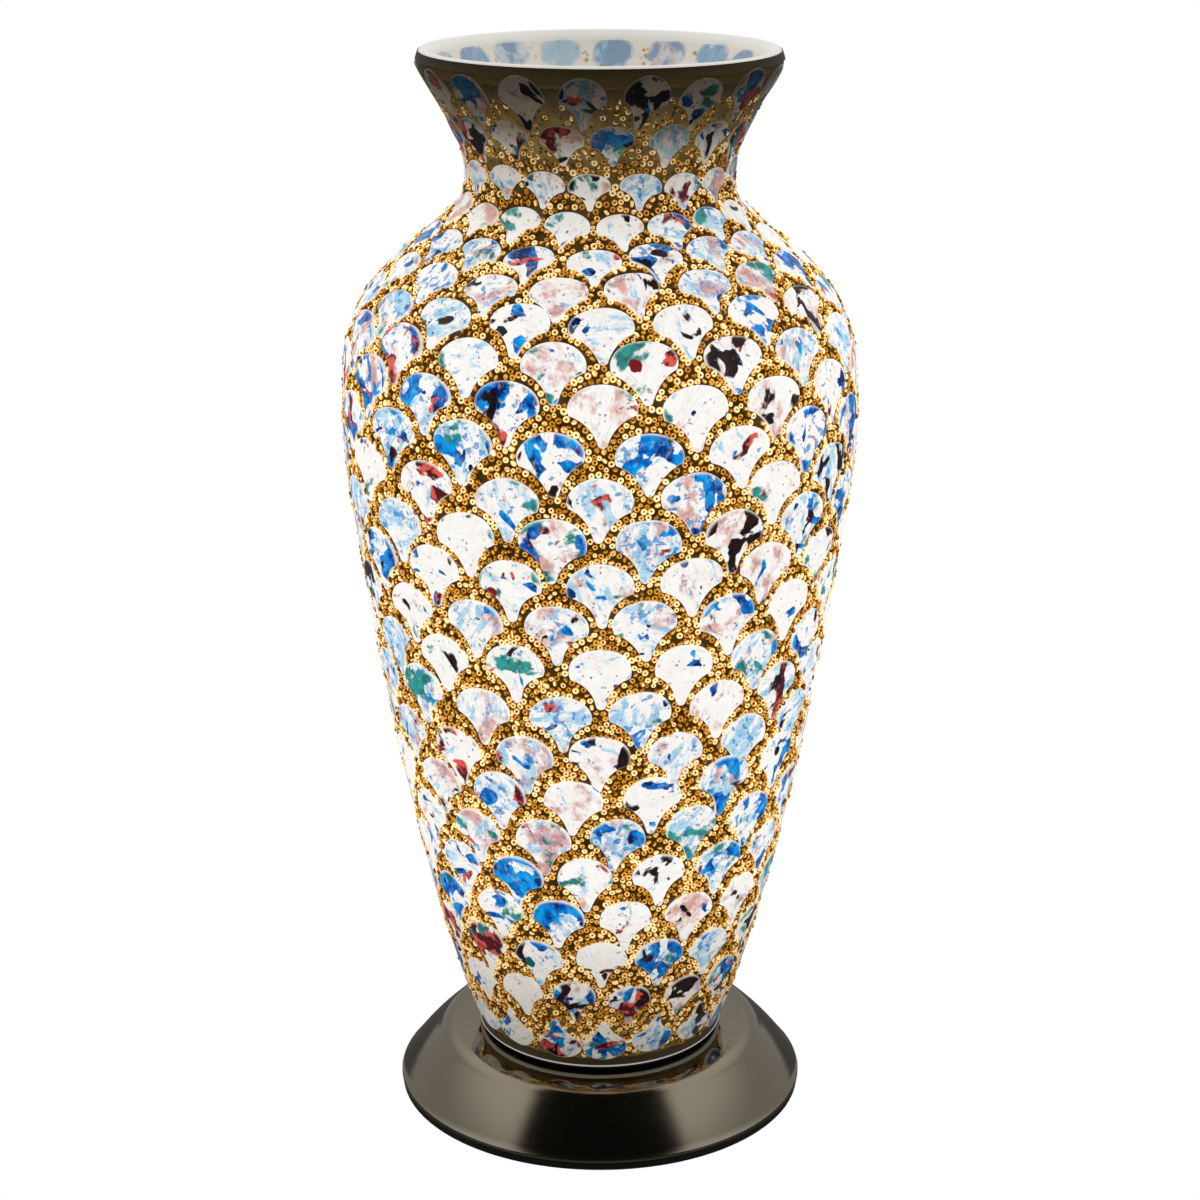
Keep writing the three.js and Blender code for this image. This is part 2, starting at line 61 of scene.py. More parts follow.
class Nodes:
    """A node tree, with a short method for each kind of node that the lamp and its studio need."""

    def __init__(self, tree):
        self.tree = tree

    def node(self, kind, inputs=None, **settings):
        made = self.tree.nodes.new(kind)
        for key, value in settings.items():
            setattr(made, key, value)
        for key, value in (inputs or {}).items():
            self.feed(made.inputs[key], value)
        return made

    def feed(self, socket, value):
        """Links or sets a socket; a colour is given as (red, green, blue)."""
        if isinstance(value, bpy.types.NodeSocket):
            self.tree.links.new(value, socket)
        elif socket.type == "RGBA":
            socket.default_value = (*value, 1)
        else:
            socket.default_value = value

    def place(self, *scale):
        """Object coordinates in millimetres, which are those of the frame, each times its scale."""
        coordinates = self.node("ShaderNodeTexCoord").outputs["Object"]
        factors = [1000 * s for s in (scale or (1, 1, 1))]
        return self.node("ShaderNodeMapping", {"Vector": coordinates, "Scale": factors}).outputs[0]

    def stretched(self, vector, *scale):
        return self.node("ShaderNodeMapping", {"Vector": vector, "Scale": scale}).outputs[0]

    def attribute(self, name, output="Fac"):
        return self.node("ShaderNodeAttribute", attribute_name=name).outputs[output]

    def split(self, vector):
        return self.node("ShaderNodeSeparateXYZ", {0: vector}).outputs

    def noise(self, vector, size, detail=2, roughness=0.5, distortion=0):
        """Noise whose features are about the given size, in the units of the vector."""
        inputs = {
            "Vector": vector,
            "Scale": 1 / size,
            "Detail": detail,
            "Roughness": roughness,
            "Distortion": distortion,
        }
        return self.node("ShaderNodeTexNoise", inputs).outputs["Fac"]

    def cells(self, vector, size, feature="F1"):
        inputs = {"Vector": vector, "Scale": 1 / size}
        return self.node("ShaderNodeTexVoronoi", inputs, feature=feature).outputs

    def math(self, operation, a, b=0.0, c=0.0):
        return self.node("ShaderNodeMath", {0: a, 1: b, 2: c}, operation=operation).outputs[0]

    def times(self, a, b):
        return self.math("MULTIPLY", a, b)

    def plus(self, a, b):
        return self.math("ADD", a, b)

    def between(self, value, low, high, out_low=0.0, out_high=1.0):
        """value taken smoothly from low..high to out_low..out_high."""
        inputs = {0: value, 1: low, 2: high, 3: out_low, 4: out_high}
        return self.node("ShaderNodeMapRange", inputs, interpolation_type="SMOOTHSTEP").outputs[0]

    def mix(self, share, a, b, blend="MIX"):
        settings = {"data_type": "RGBA", "blend_type": blend}
        return self.node("ShaderNodeMix", {0: share, 6: a, 7: b}, **settings).outputs[2]

    def blend(self, value, low, high, a, b):
        """Colour a where the value is below low, and b where it is above high."""
        return self.mix(self.between(value, low, high), a, b)

    def ramp(self, value, stops, interpolation="LINEAR"):
        """Colour for a value from stops of (position, grey) or (position, (red, green, blue))."""
        made = self.node("ShaderNodeValToRGB", {0: value})
        made.color_ramp.interpolation = interpolation
        elements = made.color_ramp.elements
        while len(elements) < len(stops):
            elements.new(1)
        for element, (position, color) in zip(elements, stops):
            element.position = position
            element.color = (*color, 1) if isinstance(color, tuple) else (color, color, color, 1)
        return made.outputs[0]


class Shader(Nodes):
    """The node tree of a new material round its surface shader."""

    def __init__(self, name):
        self.material = bpy.data.materials.new(name)
        self.material.use_nodes = True
        super().__init__(self.material.node_tree)
        self.surface = self.tree.nodes["Principled BSDF"]

    def set(self, **values):
        """Feeds the surface shader; a name such as base_color stands for the socket Base Color."""
        for key, value in values.items():
            title = key.replace("_", " ").title().replace("Ior", "IOR")
            self.feed(self.surface.inputs[title], value)

    def bump(self, height, depth, strength=1.0):
        inputs = {"Height": height, "Distance": depth * MM, "Strength": strength}
        self.feed(self.surface.inputs["Normal"], self.node("ShaderNodeBump", inputs).outputs[0])


# ------------------------------ mesh helpers


def mesh_piece(name, points, faces, material, smooth_angle=40, attributes=None):
    """A mesh object from points in millimetres; attributes are per point, floats or vectors."""
    mesh = bpy.data.meshes.new(name)
    mesh.from_pydata((np.asarray(points, float) * MM).tolist(), [], faces)
    for key, values in (attributes or {}).items():
        values = np.asarray(values, np.float32)
        kind = "FLOAT_VECTOR" if values.ndim == 2 else "FLOAT"
        made = mesh.attributes.new(key, kind, "POINT")
        made.data.foreach_set("vector" if values.ndim == 2 else "value", values.ravel())
    mesh.update(calc_edges=True)
    mesh.validate()
    mesh.shade_smooth()
    if smooth_angle:
        mesh.set_sharp_from_angle(angle=math.radians(smooth_angle))
    mesh.materials.append(material)
    made = bpy.data.objects.new(name, mesh)
    bpy.context.scene.collection.objects.link(made)
    return made


def stand_for(piece, body, slot, *nodes):
    """The piece rides on a body and is shown in place of CAD nodes. Its slot is not used."""
    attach(piece, body)
    if nodes:
        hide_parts(*nodes)
    return piece


def ring_faces(rings, sides, closed=True):
    """Faces over rings of points, each ring round in itself; closed joins the last to the first."""
    numbers = np.arange(rings * sides).reshape(rings, sides)
    low, high = numbers, np.roll(numbers, -1, axis=0)
    if not closed:
        low, high = low[:-1], high[:-1]
    corners = [low, np.roll(low, -1, axis=1), np.roll(high, -1, axis=1), high]
    return np.stack(corners, -1).reshape(-1, 4).tolist()


def around_axis(radius, angle, height):
    """The place, or the places, at a radius, an angle round the vase and a height."""
    return np.stack([radius * np.sin(angle), -radius * np.cos(angle), height + 0 * angle], -1)


def lathe(name, outline, material, sides=128, smooth_angle=40, attributes=None):
    """A piece turned about Z from a closed outline of [radius, height] points. A point on the axis
    closes its end."""
    rings, points = [], []
    angles = TURN * np.arange(sides) / sides
    for radius, height in outline:
        if radius < 1e-6:
            rings.append([len(points)] * sides)
            points.append((0, 0, height))
        else:
            rings.append(list(range(len(points), len(points) + sides)))
            points += around_axis(radius, angles, height).tolist()
    faces = []
    for low, high in zip(rings, rings[1:] + rings[:1]):
        for i in range(sides):
            j = (i + 1) % sides
            corners = [low[i], low[j], high[j], high[i]]
            corners = [c for k, c in enumerate(corners) if c != corners[k - 1]]
            if len(set(corners)) > 2:
                faces.append(corners)
    return mesh_piece(name, points, faces, material, smooth_angle, attributes)


def arc(centre_r, centre_z, radius, start, end, steps=8):
    """[radius, height] points on an arc, angles in degrees from the outward direction."""
    angles = np.radians(np.linspace(start, end, steps + 1))
    return [(centre_r + radius * math.cos(a), centre_z + radius * math.sin(a)) for a in angles]


def bezier(a, b, c, steps):
    """Points on the quadratic curve from a to c that b pulls towards itself, without c itself."""
    t = np.linspace(0, 1, steps, endpoint=False)[:, None]
    a, b, c = (np.array(p, float) for p in (a, b, c))
    return (1 - t) ** 2 * a + 2 * t * (1 - t) * b + t * t * c


def rounded(outline, radius=0.5, steps=3):
    """A closed outline with its corners cut round by quadratic curves."""
    made = []
    count = len(outline)
    for i, corner in enumerate(outline):
        corner = np.array(corner, float)
        if corner[0] < 1e-6:
            made.append(tuple(corner))
            continue
        before, after = np.array(outline[i - 1], float), np.array(outline[(i + 1) % count], float)
        ends = []
        for other in (before, after):
            way = other - corner
            length = np.linalg.norm(way)
            ends.append(corner + way / length * min(radius, 0.4 * length))
        made += [*bezier(ends[0], corner, ends[1], steps).tolist(), ends[1].tolist()]
    return made


def box_mm(node):
    """The lowest and the highest corner of a CAD node's box, in millimetres."""
    low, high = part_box(node)
    return np.array(low) / MM, np.array(high) / MM


def heights_of(node):
    low, high = box_mm(node)
    return low[2], high[2]


def radius_of(node):
    """Half the width of a CAD node, which is its radius if it is turned."""
    return box_mm(node)[1][0]


# ------------------------------ the vase wall

ROWS = sorted(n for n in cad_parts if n.startswith("mosaic_row_"))
FOOT_Z, LIP_Z = heights_of("vase_glass")
LIP_RADIUS = radius_of("rim_band")
LIP_HEIGHT = 3.5  # from the widest ring of the mouth to the top of the lip


def outer_ends(node):
    """(radius, height) of the top and bottom outer edges of a ring of mosaic in the frame."""
    points = np.array([v.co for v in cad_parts[node].data.vertices]) / MM
    radius = np.hypot(points[:, 0], points[:, 1])
    outline = np.unique(np.round(np.column_stack([radius, points[:, 2]]), 2), axis=0)
    ends = []
    for height_rank in (1, -1):
        order = outline[np.argsort(height_rank * -outline[:, 1])]
        pair = order[:2]
        ends.append(pair[np.argmax(pair[:, 0])])
    return ends


def on_the_way(a, b, start, end, t):
    """Where a point is at the time t if it is at a at the start and at b at the end."""
    return a + (b - a) * (t - start) / (end - start)


class Wall:
    """The outside of the finished vase: radius and height against the way up from the ground edge."""

    def __init__(self):
        ends = [outer_ends(row) for row in ROWS]
        knots = [ends[0][0]]
        for above, below in zip(ends, ends[1:]):
            knots.append((above[1] + below[0]) / 2)
        knots.append(ends[-1][1])
        self.edges = knots
        foot = (radius_of("vase_gasket") + 1, FOOT_Z)
        swell = (LIP_RADIUS, LIP_Z - LIP_HEIGHT)
        lip = (LIP_RADIUS - 1, LIP_Z)
        points = np.array([foot, *knots[::-1], swell, lip])
        line = self.curve(points)
        steps = np.linalg.norm(np.diff(line, axis=0), axis=1)
        self.way = np.concatenate([[0], np.cumsum(steps)])
        self.length = self.way[-1]
        self.radii, self.heights = line.T
        slope = np.gradient(line, self.way, axis=0)
        slope /= np.linalg.norm(slope, axis=1)[:, None]
        self.normal_r, self.normal_z = slope[:, 1], -slope[:, 0]

    @staticmethod
    def curve(points, steps=24):
        """A smooth line through the points (centripetal Catmull-Rom)."""
        first, last = 2 * points[0] - points[1], 2 * points[-1] - points[-2]
        padded = np.vstack([first, points, last])
        line = []
        for p0, p1, p2, p3 in zip(padded, padded[1:], padded[2:], padded[3:]):
            times = [0]
            for a, b in ((p0, p1), (p1, p2), (p2, p3)):
                times.append(times[-1] + np.linalg.norm(b - a) ** 0.5)
            t0, t1, t2, t3 = times
            for t in np.linspace(t1, t2, steps, endpoint=False):
                a1 = on_the_way(p0, p1, t0, t1, t)
                a2 = on_the_way(p1, p2, t1, t2, t)
                a3 = on_the_way(p2, p3, t2, t3, t)
                b1 = on_the_way(a1, a2, t0, t2, t)
                b2 = on_the_way(a2, a3, t1, t3, t)
                line.append(on_the_way(b1, b2, t1, t2, t))
        return np.array([*line, points[-1]])

    def radius(self, way):
        return np.interp(way, self.way, self.radii)

    def height(self, way):
        return np.interp(way, self.way, self.heights)

    def normal(self, angle, way):
        r, z = np.interp(way, self.way, self.normal_r), np.interp(way, self.way, self.normal_z)
        return around_axis(r, angle, z)

    def point(self, angle, way, depth=0.0):
        """Point under the outside of the vase by a depth along the wall's normal."""
        surface = around_axis(self.radius(way), angle, self.height(way))
        return surface - self.normal(angle, way) * np.asarray(depth)[..., None]

    def outline(self, ways, depth):
        """[radius, height] points along the wall at a depth."""
        r = self.radius(ways) - np.interp(ways, self.way, self.normal_r) * depth
        z = self.height(ways) - np.interp(ways, self.way, self.normal_z) * depth
        return list(zip(r, z))

    def way_at(self, height):
        return float(np.interp(height, self.heights, self.way))


wall = Wall()

# ------------------------------ glow of the lit vase

# How bright the lit glass and the beads are at a share of the lamp's height. The bulb sits in the
# middle; the flared mouth is above its light, and what reaches it there has turned warm.
GLASS_GLOW = [
    (0.075, (0.34, 0.31, 0.27)),
    (0.185, (0.68, 0.67, 0.64)),
    (0.245, 0.92),
    (0.750, 0.92),
    (0.850, 0.80),
    (0.905, (0.50, 0.48, 0.44)),
    (0.945, (0.12, 0.098, 0.075)),
    (0.985, (0.05, 0.038, 0.027)),
]
BEAD_GLOW = [
    (0.08, 0.40),
    (0.25, 1.0),
    (0.70, 1.0),
    (0.84, 0.85),
    (0.90, 0.46),
    (0.94, 0.22),
    (0.98, 0.11),
]


def height_share(shader):
    """Height as a share of the lamp's height."""
    return shader.math("DIVIDE", shader.split(shader.place())[2], LIP_Z)


def glow(shader, stops):
    return shader.ramp(height_share(shader), stops)


# ------------------------------ tiles

TILES_ABOVE = 18  # tiles round each row of the body and neck
TILES_BELOW = 17  # tiles round each of the lowest rows
LAST_FULL_ROW = 17

# The rows of the frame, top row first, measured as the way up the wall from the ground edge.
ROW_EDGES = [wall.way_at(height) for _, height in wall.edges]
ROW_MIDDLES = [(above + below) / 2 for above, below in zip(ROW_EDGES, ROW_EDGES[1:])]
ROW_HEIGHTS = [above - below for above, below in zip(ROW_EDGES, ROW_EDGES[1:])]

LARGEST_TILE = 18.2  # width and height that no tile goes beyond
SQUARE_ROW = 12.3  # height of a row whose tiles are as tall as they are wide
SMALL_TILE = 0.94  # width of the tiles of the three highest rows and the last but one, to the others
TOP_TILE_STRETCH = 1.25  # the tiles of the top row reach up to the plain band

TILE_TOP = 0.3  # depth of a tile's face under the outside of the vase
TILE_THICKNESS = 1.7
TILE_BEVEL = 0.2
FLATNESS = 0.4  # 1 is a flat tile, 0 is one bent with the wall


def tile_count(row):
    return TILES_ABOVE if row <= LAST_FULL_ROW else TILES_BELOW


def tile_pitch(row):
    return TURN * wall.radius(ROW_MIDDLES[row - 1]) / tile_count(row)


def tile_size(row):
    """Usual width and height of a row's tiles: the pitch less room for beads, and the row's height."""
    width = min(LARGEST_TILE, 5.4 + 0.51 * tile_pitch(row))
    width *= SMALL_TILE if row in (1, 2, 3, len(ROWS) - 1) else 1
    height = min(LARGEST_TILE, width * ROW_HEIGHTS[row - 1] / SQUARE_ROW)
    return width, height * (TOP_TILE_STRETCH if row == 1 else 1)


def row_shift(row):
    """How far a row is turned to the right of the one that has a tile at the front, in tiles."""
    if row <= LAST_FULL_ROW:
        return (0 if row % 2 else 0.5) - 0.045 * max(0, 7 - row)
    return 0.08 * (row - LAST_FULL_ROW - 1) - 0.35 + (0.5 if row % 2 else 0)


def fan_outline(width, height, hollow):
    """Fan-shaped tile, anticlockwise from its right corner: a dome, two hollow flanks, a blunt tail."""
    half = width / 2
    middle = 0.13 * height
    rise = height / 2 - middle
    dip = math.radians(17)
    angles = np.linspace(-dip, math.pi + dip, 22)
    dome = np.stack([half * np.cos(angles), middle + rise * np.sin(angles)], 1)
    tail = 0.08 * width
    tail_z = -height / 2 + tail
    waist = ((0.25 - hollow) * width, -0.09 * height)
    left = bezier(dome[-1], (-waist[0], waist[1]), (-tail, tail_z), 7)[1:]
    turn = np.linspace(math.pi, TURN, 6)
    end = np.stack([tail * np.cos(turn), tail_z + tail * np.sin(turn)], 1)
    right = bezier((tail, tail_z), (waist[0], waist[1]), dome[0], 7)[1:]
    return np.vstack([dome, left, end, right])


class Tile:
    """One fan-shaped piece of glass, cut and laid by hand, so that no two are quite alike."""

    def __init__(self, row, index, count):
        self.row = row
        middle = ROW_MIDDLES[row - 1]
        angle = TURN * (index + row_shift(row)) / count
        width, height = tile_size(row)
        width *= rng.uniform(0.96, 1.03)
        height *= rng.uniform(0.95, 1.04)
        # The rows near the 17th climb towards the right side, and every row wavers a little.
        climb = 2.6 * math.exp(-(((row - 17.5) / 3) ** 2))
        sway = climb * math.sin(angle) + 0.6 * math.sin(angle * 2 + row)
        sway += 0.5 * math.sin(angle * 5 + row * 2.3)
        self.way = middle + sway + rng.normal(0, 0.35)
        self.angle = angle + rng.normal(0, 0.35) / wall.radius(middle)
        self.turn = math.radians(rng.normal(0, 3.5)) + (math.pi if row == len(ROWS) else 0)
        shape = fan_outline(width, height, rng.uniform(0.02, 0.12))
        waves = np.linspace(0, TURN, len(shape)) * rng.integers(3, 6)
        wobble = 1 + 0.012 * np.sin(waves + rng.uniform(0, 6))
        self.shape = self.turned(shape * wobble[:, None], self.turn)
        self.sheet_turn = rng.uniform(0, TURN)
        self.sheet_start = rng.uniform(-400, 400, 3)
        self.tints = rng.uniform(0, 1, 3) ** (1.15, 1.7, 2.3)
        chance = (0.55, 0.35, 0.60) if row <= 2 or row >= 23 else (0.36, 0.11, 0.10)
        strong = rng.uniform(0, 1, 3) < chance
        self.marks = np.where(strong, rng.uniform(0.55, 1.05, 3), rng.uniform(0, 0.35, 3))

    @staticmethod
    def turned(points, turn):
        c, s = math.cos(turn), math.sin(turn)
        return points @ np.array([[c, s], [-s, c]])

    def on_wall(self, flat, depth):
        """Points of the tile, given flat about its middle, set in the wall at a depth."""
        way = self.way + flat[:, 1]
        angle = self.angle + flat[:, 0] / wall.radius(way)
        bent = wall.point(angle, way, depth)
        centre = wall.point(np.array(self.angle), self.way, 0.0)
        normal = wall.normal(np.array(self.angle), self.way)
        across = np.array([math.cos(self.angle), math.sin(self.angle), 0])
        up = np.cross(normal, across)
        level = centre + flat[:, :1] * across + flat[:, 1:] * up
        level = level - np.asarray(depth)[..., None] * normal
        return FLATNESS * level + (1 - FLATNESS) * bent

    def mesh(self):
        """Points, faces, places on the sheet and nearness to the edge. The points lie in rings of
        (scale, depth, nearness), from the back, over the ground edge, to the middle of the face."""
        count = len(self.shape)
        inset = 1 - TILE_BEVEL / np.linalg.norm(self.shape, axis=1).mean()
        bottom = TILE_TOP + TILE_THICKNESS
        rings = [
            (0.5, bottom, 0),
            (inset, bottom, 0),
            (1, bottom - TILE_BEVEL, 1),
            (1, TILE_TOP + TILE_BEVEL, 1),
            ((1 + inset) / 2, TILE_TOP + 0.3 * TILE_BEVEL, 0.8),
            (inset, TILE_TOP, 0.35),
            (inset - 0.06, TILE_TOP, 0),
            (0.6, TILE_TOP, 0),
            (0.3, TILE_TOP, 0),
        ]
        scales, depths, edges = np.array(rings).T
        flat = np.vstack([*(self.shape * scale for scale in scales), np.zeros((2, 2))])
        depth = np.append(np.repeat(depths, count), [bottom, TILE_TOP])
        edge = np.append(np.repeat(edges, count), [0, 0])
        faces = ring_faces(len(rings), count, closed=False)
        back, face = len(flat) - 2, len(flat) - 1
        top = (len(rings) - 1) * count
        for i in range(count):
            j = (i + 1) % count
            faces += [[back, j, i], [face, top + i, top + j]]
        sheet = self.turned(flat, self.sheet_turn)
        sheet = np.column_stack([sheet, depth * 0.2]) + self.sheet_start
        return self.on_wall(flat, depth), faces, sheet, edge


def lay_tiles():
    tiles = []
    for row in range(1, len(ROWS) + 1):
        count = tile_count(row)
        tiles += [Tile(row, index, count) for index in range(count)]
    return tiles


def confetti_glass():
    """Opal glass with coloured glass fused into it; each tile shows its own part of the sheet. How
    much of each colour a tile has comes with it: tints are wash, rose and teal, marks are blue,
    maroon and ink."""
    glass = Shader("confetti_opal_glass")
    sheet = glass.attribute("sheet", "Vector")
    wash_share, rose_share, teal_share = glass.split(glass.attribute("tints", "Vector"))
    blue_share, maroon_share, ink_share = glass.split(glass.attribute("marks", "Vector"))

    def patch(scales, size, share, soft, detail=4, roughness=0.55, distortion=0.0, least=0.71):
        """Where a colour lies on the sheet; share is how much of it the tile has."""
        level = glass.noise(glass.stretched(sheet, *scales), size, detail, roughness, distortion)
        start = glass.math("MULTIPLY_ADD", share, -0.19, least)
        return glass.between(glass.math("SUBTRACT", level, start), -soft, soft)

    def cover(share, strength, color):
        nonlocal body
        body = glass.mix(glass.times(share, strength), body, color)

    cloud = glass.noise(sheet, 3.0, 6, 0.75)
    body = glass.blend(cloud, 0.42, 0.60, (0.985, 0.965, 0.935), (0.93, 0.905, 0.875))
    brushing = glass.noise(glass.stretched(sheet, 0.14, 1, 1), 0.45, 3, 0.7)
    broad = glass.noise(glass.stretched(sheet, 1, 1, 5.1), 4.5, 2)
    brushed = glass.times(glass.between(brushing, 0.52, 0.72), glass.between(broad, 0.42, 0.62))
    brushed_color = glass.blend(broad, 0.5, 0.6, (0.30, 0.54, 0.74), (0.60, 0.38, 0.34))
    cover(brushed, 0.75, brushed_color)

    wash_color = glass.blend(cloud, 0.44, 0.58, (0.04, 0.40, 0.74), (0.32, 0.68, 0.86))
    cover(patch((0.42, 1.0, 1.0), 3.4, wash_share, 0.04, 6, 0.72, least=0.67), 0.70, wash_color)
    rose = glass.blend(cloud, 0.42, 0.56, (0.42, 0.115, 0.085), (0.74, 0.29, 0.24))
    cover(patch((0.8, 1.0, 2.3), 6.0, rose_share, 0.07, 5, 0.64, least=0.70), 0.75, rose)
    teal = glass.blend(cloud, 0.4, 0.6, (0.0, 0.13, 0.12), (0.010, 0.33, 0.28))
    cover(patch((1.0, 0.6, 3.1), 6.5, teal_share, 0.035, 4, 0.56), 0.97, teal)

    grit = glass.noise(sheet, 0.45, 3, 0.7)
    cover(glass.between(grit, 0.60, 0.72), 0.28, (0.42, 0.33, 0.30))

    deep = glass.noise(sheet, 4.5, 4, 0.6)
    blues = [
        (0.40, (0.0, 0.34, 0.80)),
        (0.47, (0.0, 0.17, 0.58)),
        (0.56, (0.0, 0.080, 0.38)),
        (0.62, (0.002, 0.012, 0.09)),
    ]
    blue = patch((1.0, 1.25, 1.9), 9.0, blue_share, 0.010, 3, 0.42, 0.5, least=0.70)
    streaks = glass.noise(glass.stretched(sheet, 0.5, 1, 7.7), 1.4, 4, 0.7)
    cover(blue, glass.between(streaks, 0.34, 0.48, 0.80, 1.0), glass.ramp(deep, blues))
    fleck_share = glass.math("MAXIMUM", wash_share, blue_share)
    flecks = patch((1.0, 0.7, 4.7), 2.2, fleck_share, 0.02, 4, 0.6, least=0.76)
    cover(flecks, 0.8, (0.02, 0.24, 0.60))
    reds = glass.blend(deep, 0.46, 0.56, (0.085, 0.010, 0.014), (0.72, 0.11, 0.085))
    cover(patch((1.1, 0.8, 2.9), 7.0, maroon_share, 0.02, 3, 0.46, 0.4, least=0.715), 1.0, reds)
    inks = glass.blend(cloud, 0.4, 0.6, (0.003, 0.005, 0.012), (0.030, 0.010, 0.006))
    cover(patch((0.9, 1.1, 3.7), 8.0, ink_share, 0.015, 3, 0.46, 0.5, least=0.715), 1.0, inks)

    specks = glass.cells(sheet, 1.5)
    kind = glass.split(specks["Color"])[0]
    speck_colors = [
        (0.0, (0.06, 0.26, 0.56)),
        (0.84, (0.42, 0.12, 0.10)),
        (0.93, (0.02, 0.03, 0.05)),
    ]
    speck = glass.plus(specks["Distance"], glass.between(grit, 0.3, 0.7, -0.12, 0.12))
    dots = glass.times(glass.between(speck, 0.30, 0.16), glass.between(kind, 0.76, 0.78))
    cover(dots, 0.75, glass.ramp(kind, speck_colors, "CONSTANT"))

    uneven = glass.math("MULTIPLY_ADD", glass.noise(sheet, 1.6, 2), 0.16, -0.08)
    drops = glass.cells(glass.stretched(sheet, 1, 1.15, 0.2), 9)
    drop_kind = glass.split(drops["Color"])
    reach = glass.between(drop_kind[1], 0.0, 1.0, 0.07, 0.22)
    drop_edge = glass.math("SUBTRACT", reach, glass.plus(drops["Distance"], uneven))
    drop_colors = [
        (0.0, (0.006, 0.03, 0.16)),
        (0.28, (0.20, 0.012, 0.02)),
        (0.5, (0.008, 0.010, 0.016)),
        (0.85, (0.01, 0.12, 0.13)),
    ]
    few = glass.between(drop_kind[0], 0.78, 0.80)
    inside = glass.times(glass.between(drop_edge, -0.010, 0.014), few)
    cover(inside, 1.0, glass.ramp(drop_kind[2], drop_colors, "CONSTANT"))

    cover(glass.attribute("edge"), 0.7, (0.95, 0.93, 0.88))
    lit = glass.mix(1.0, body, glow(glass, GLASS_GLOW), "MULTIPLY")
    # Painted shade: the base colour is dimmed to about a third, and towards the mouth to less than a
    # tenth.
    painted_shade_by_height = glass.between(height_share(glass), 0.86, 0.96, 0.38, 0.08)
    unlit = glass.mix(1.0, body, glass.mix(painted_shade_by_height, (0, 0, 0), (1.0, 0.94, 0.87)), "MULTIPLY")
    glass.set(base_color=unlit, roughness=0.14, specular_ior_level=0.28)
    glass.set(emission_color=lit, emission_strength=1.0)
    glass.bump(cloud, 0.04, 0.4)
    return glass.material


def build_tiles(tiles):
    material = confetti_glass()
    for row, node in enumerate(ROWS, start=1):
        here = [tile for tile in tiles if tile.row == row]
        points, faces, sheets, edges = zip(*(tile.mesh() for tile in here))
        size = len(points[0])
        faces = [
            [number * size + i for i in face]
            for number, group in enumerate(faces)
            for face in group
        ]
        attributes = {
            "sheet": np.vstack(sheets),
            "edge": np.concatenate(edges),
            "tints": np.repeat([tile.tints for tile in here], size, axis=0),
            "marks": np.repeat([tile.marks for tile in here], size, axis=0),
        }
        name = f"tiles_row_{row:02d}"
        piece = mesh_piece(name, np.vstack(points), faces, material, 50, attributes)
        stand_for(piece, "vase", "mosaic", node)


def gaps_to_tiles(tiles, angles, ways):
    """For points on the wall: distance outside the nearest tile's edge (negative inside it), which
    tile that is, and how far round its edge the nearest place is. Points far from every tile get a
    large gap."""
    gap = np.full(len(ways), 99.0)
    nearest = np.full(len(ways), -1)
    around = np.zeros(len(ways))
    order = np.argsort(ways, kind="stable")
    sorted_ways = ways[order]
    radii = wall.radius(ways)
    for number, tile in enumerate(tiles):
        reach = np.abs(tile.shape).max() + 4
        low, high = np.searchsorted(sorted_ways, [tile.way - reach, tile.way + reach])
        near = order[low:high]
        turn = (angles[near] - tile.angle + math.pi) % TURN - math.pi
        across = turn * radii[near]
        near, across = near[np.abs(across) < reach], across[np.abs(across) < reach]
        flat = np.stack([across, ways[near] - tile.way], 1)
        a = tile.shape
        b = np.roll(a, -1, axis=0)
        side = b - a
        from_a = flat[:, None] - a[None]
        t = np.clip((from_a * side).sum(-1) / (side * side).sum(-1), 0, 1)
        distance = np.linalg.norm(from_a - t[..., None] * side, axis=-1)
        closest = distance.argmin(1)
        value = distance[np.arange(len(near)), closest]
        crossing = (a[:, 1] > flat[:, None, 1]) != (b[:, 1] > flat[:, None, 1])
        with np.errstate(divide="ignore", invalid="ignore"):
            meets = a[:, 0] + (flat[:, None, 1] - a[:, 1]) * side[:, 0] / side[:, 1]
        inside = (crossing & (flat[:, None, 0] < meets)).sum(1) % 2 == 1
        value = np.where(inside, -value, value)
        better = value < gap[near]
        gap[near[better]] = value[better]
        nearest[near[better]] = number
        around[near[better]] = (closest + t[np.arange(len(near)), closest])[better]
    return gap, nearest, around


# ------------------------------ beads

BEAD_RADIUS = 1.0
BEAD_TUBE = 0.38  # half the thickness of its ring
BEAD_HALF_HEIGHT = 0.58
BEAD_SPACING = 1.7
EDGE_GAP = 0.82  # middle of a bead to the edge of a tile
SMALL_BEAD = 0.74  # size of the beads that fill what is left, against the others
GRID = 0.40
HIGHEST_BEAD = wall.length - 9.5
LOWEST_BEAD = 3.2


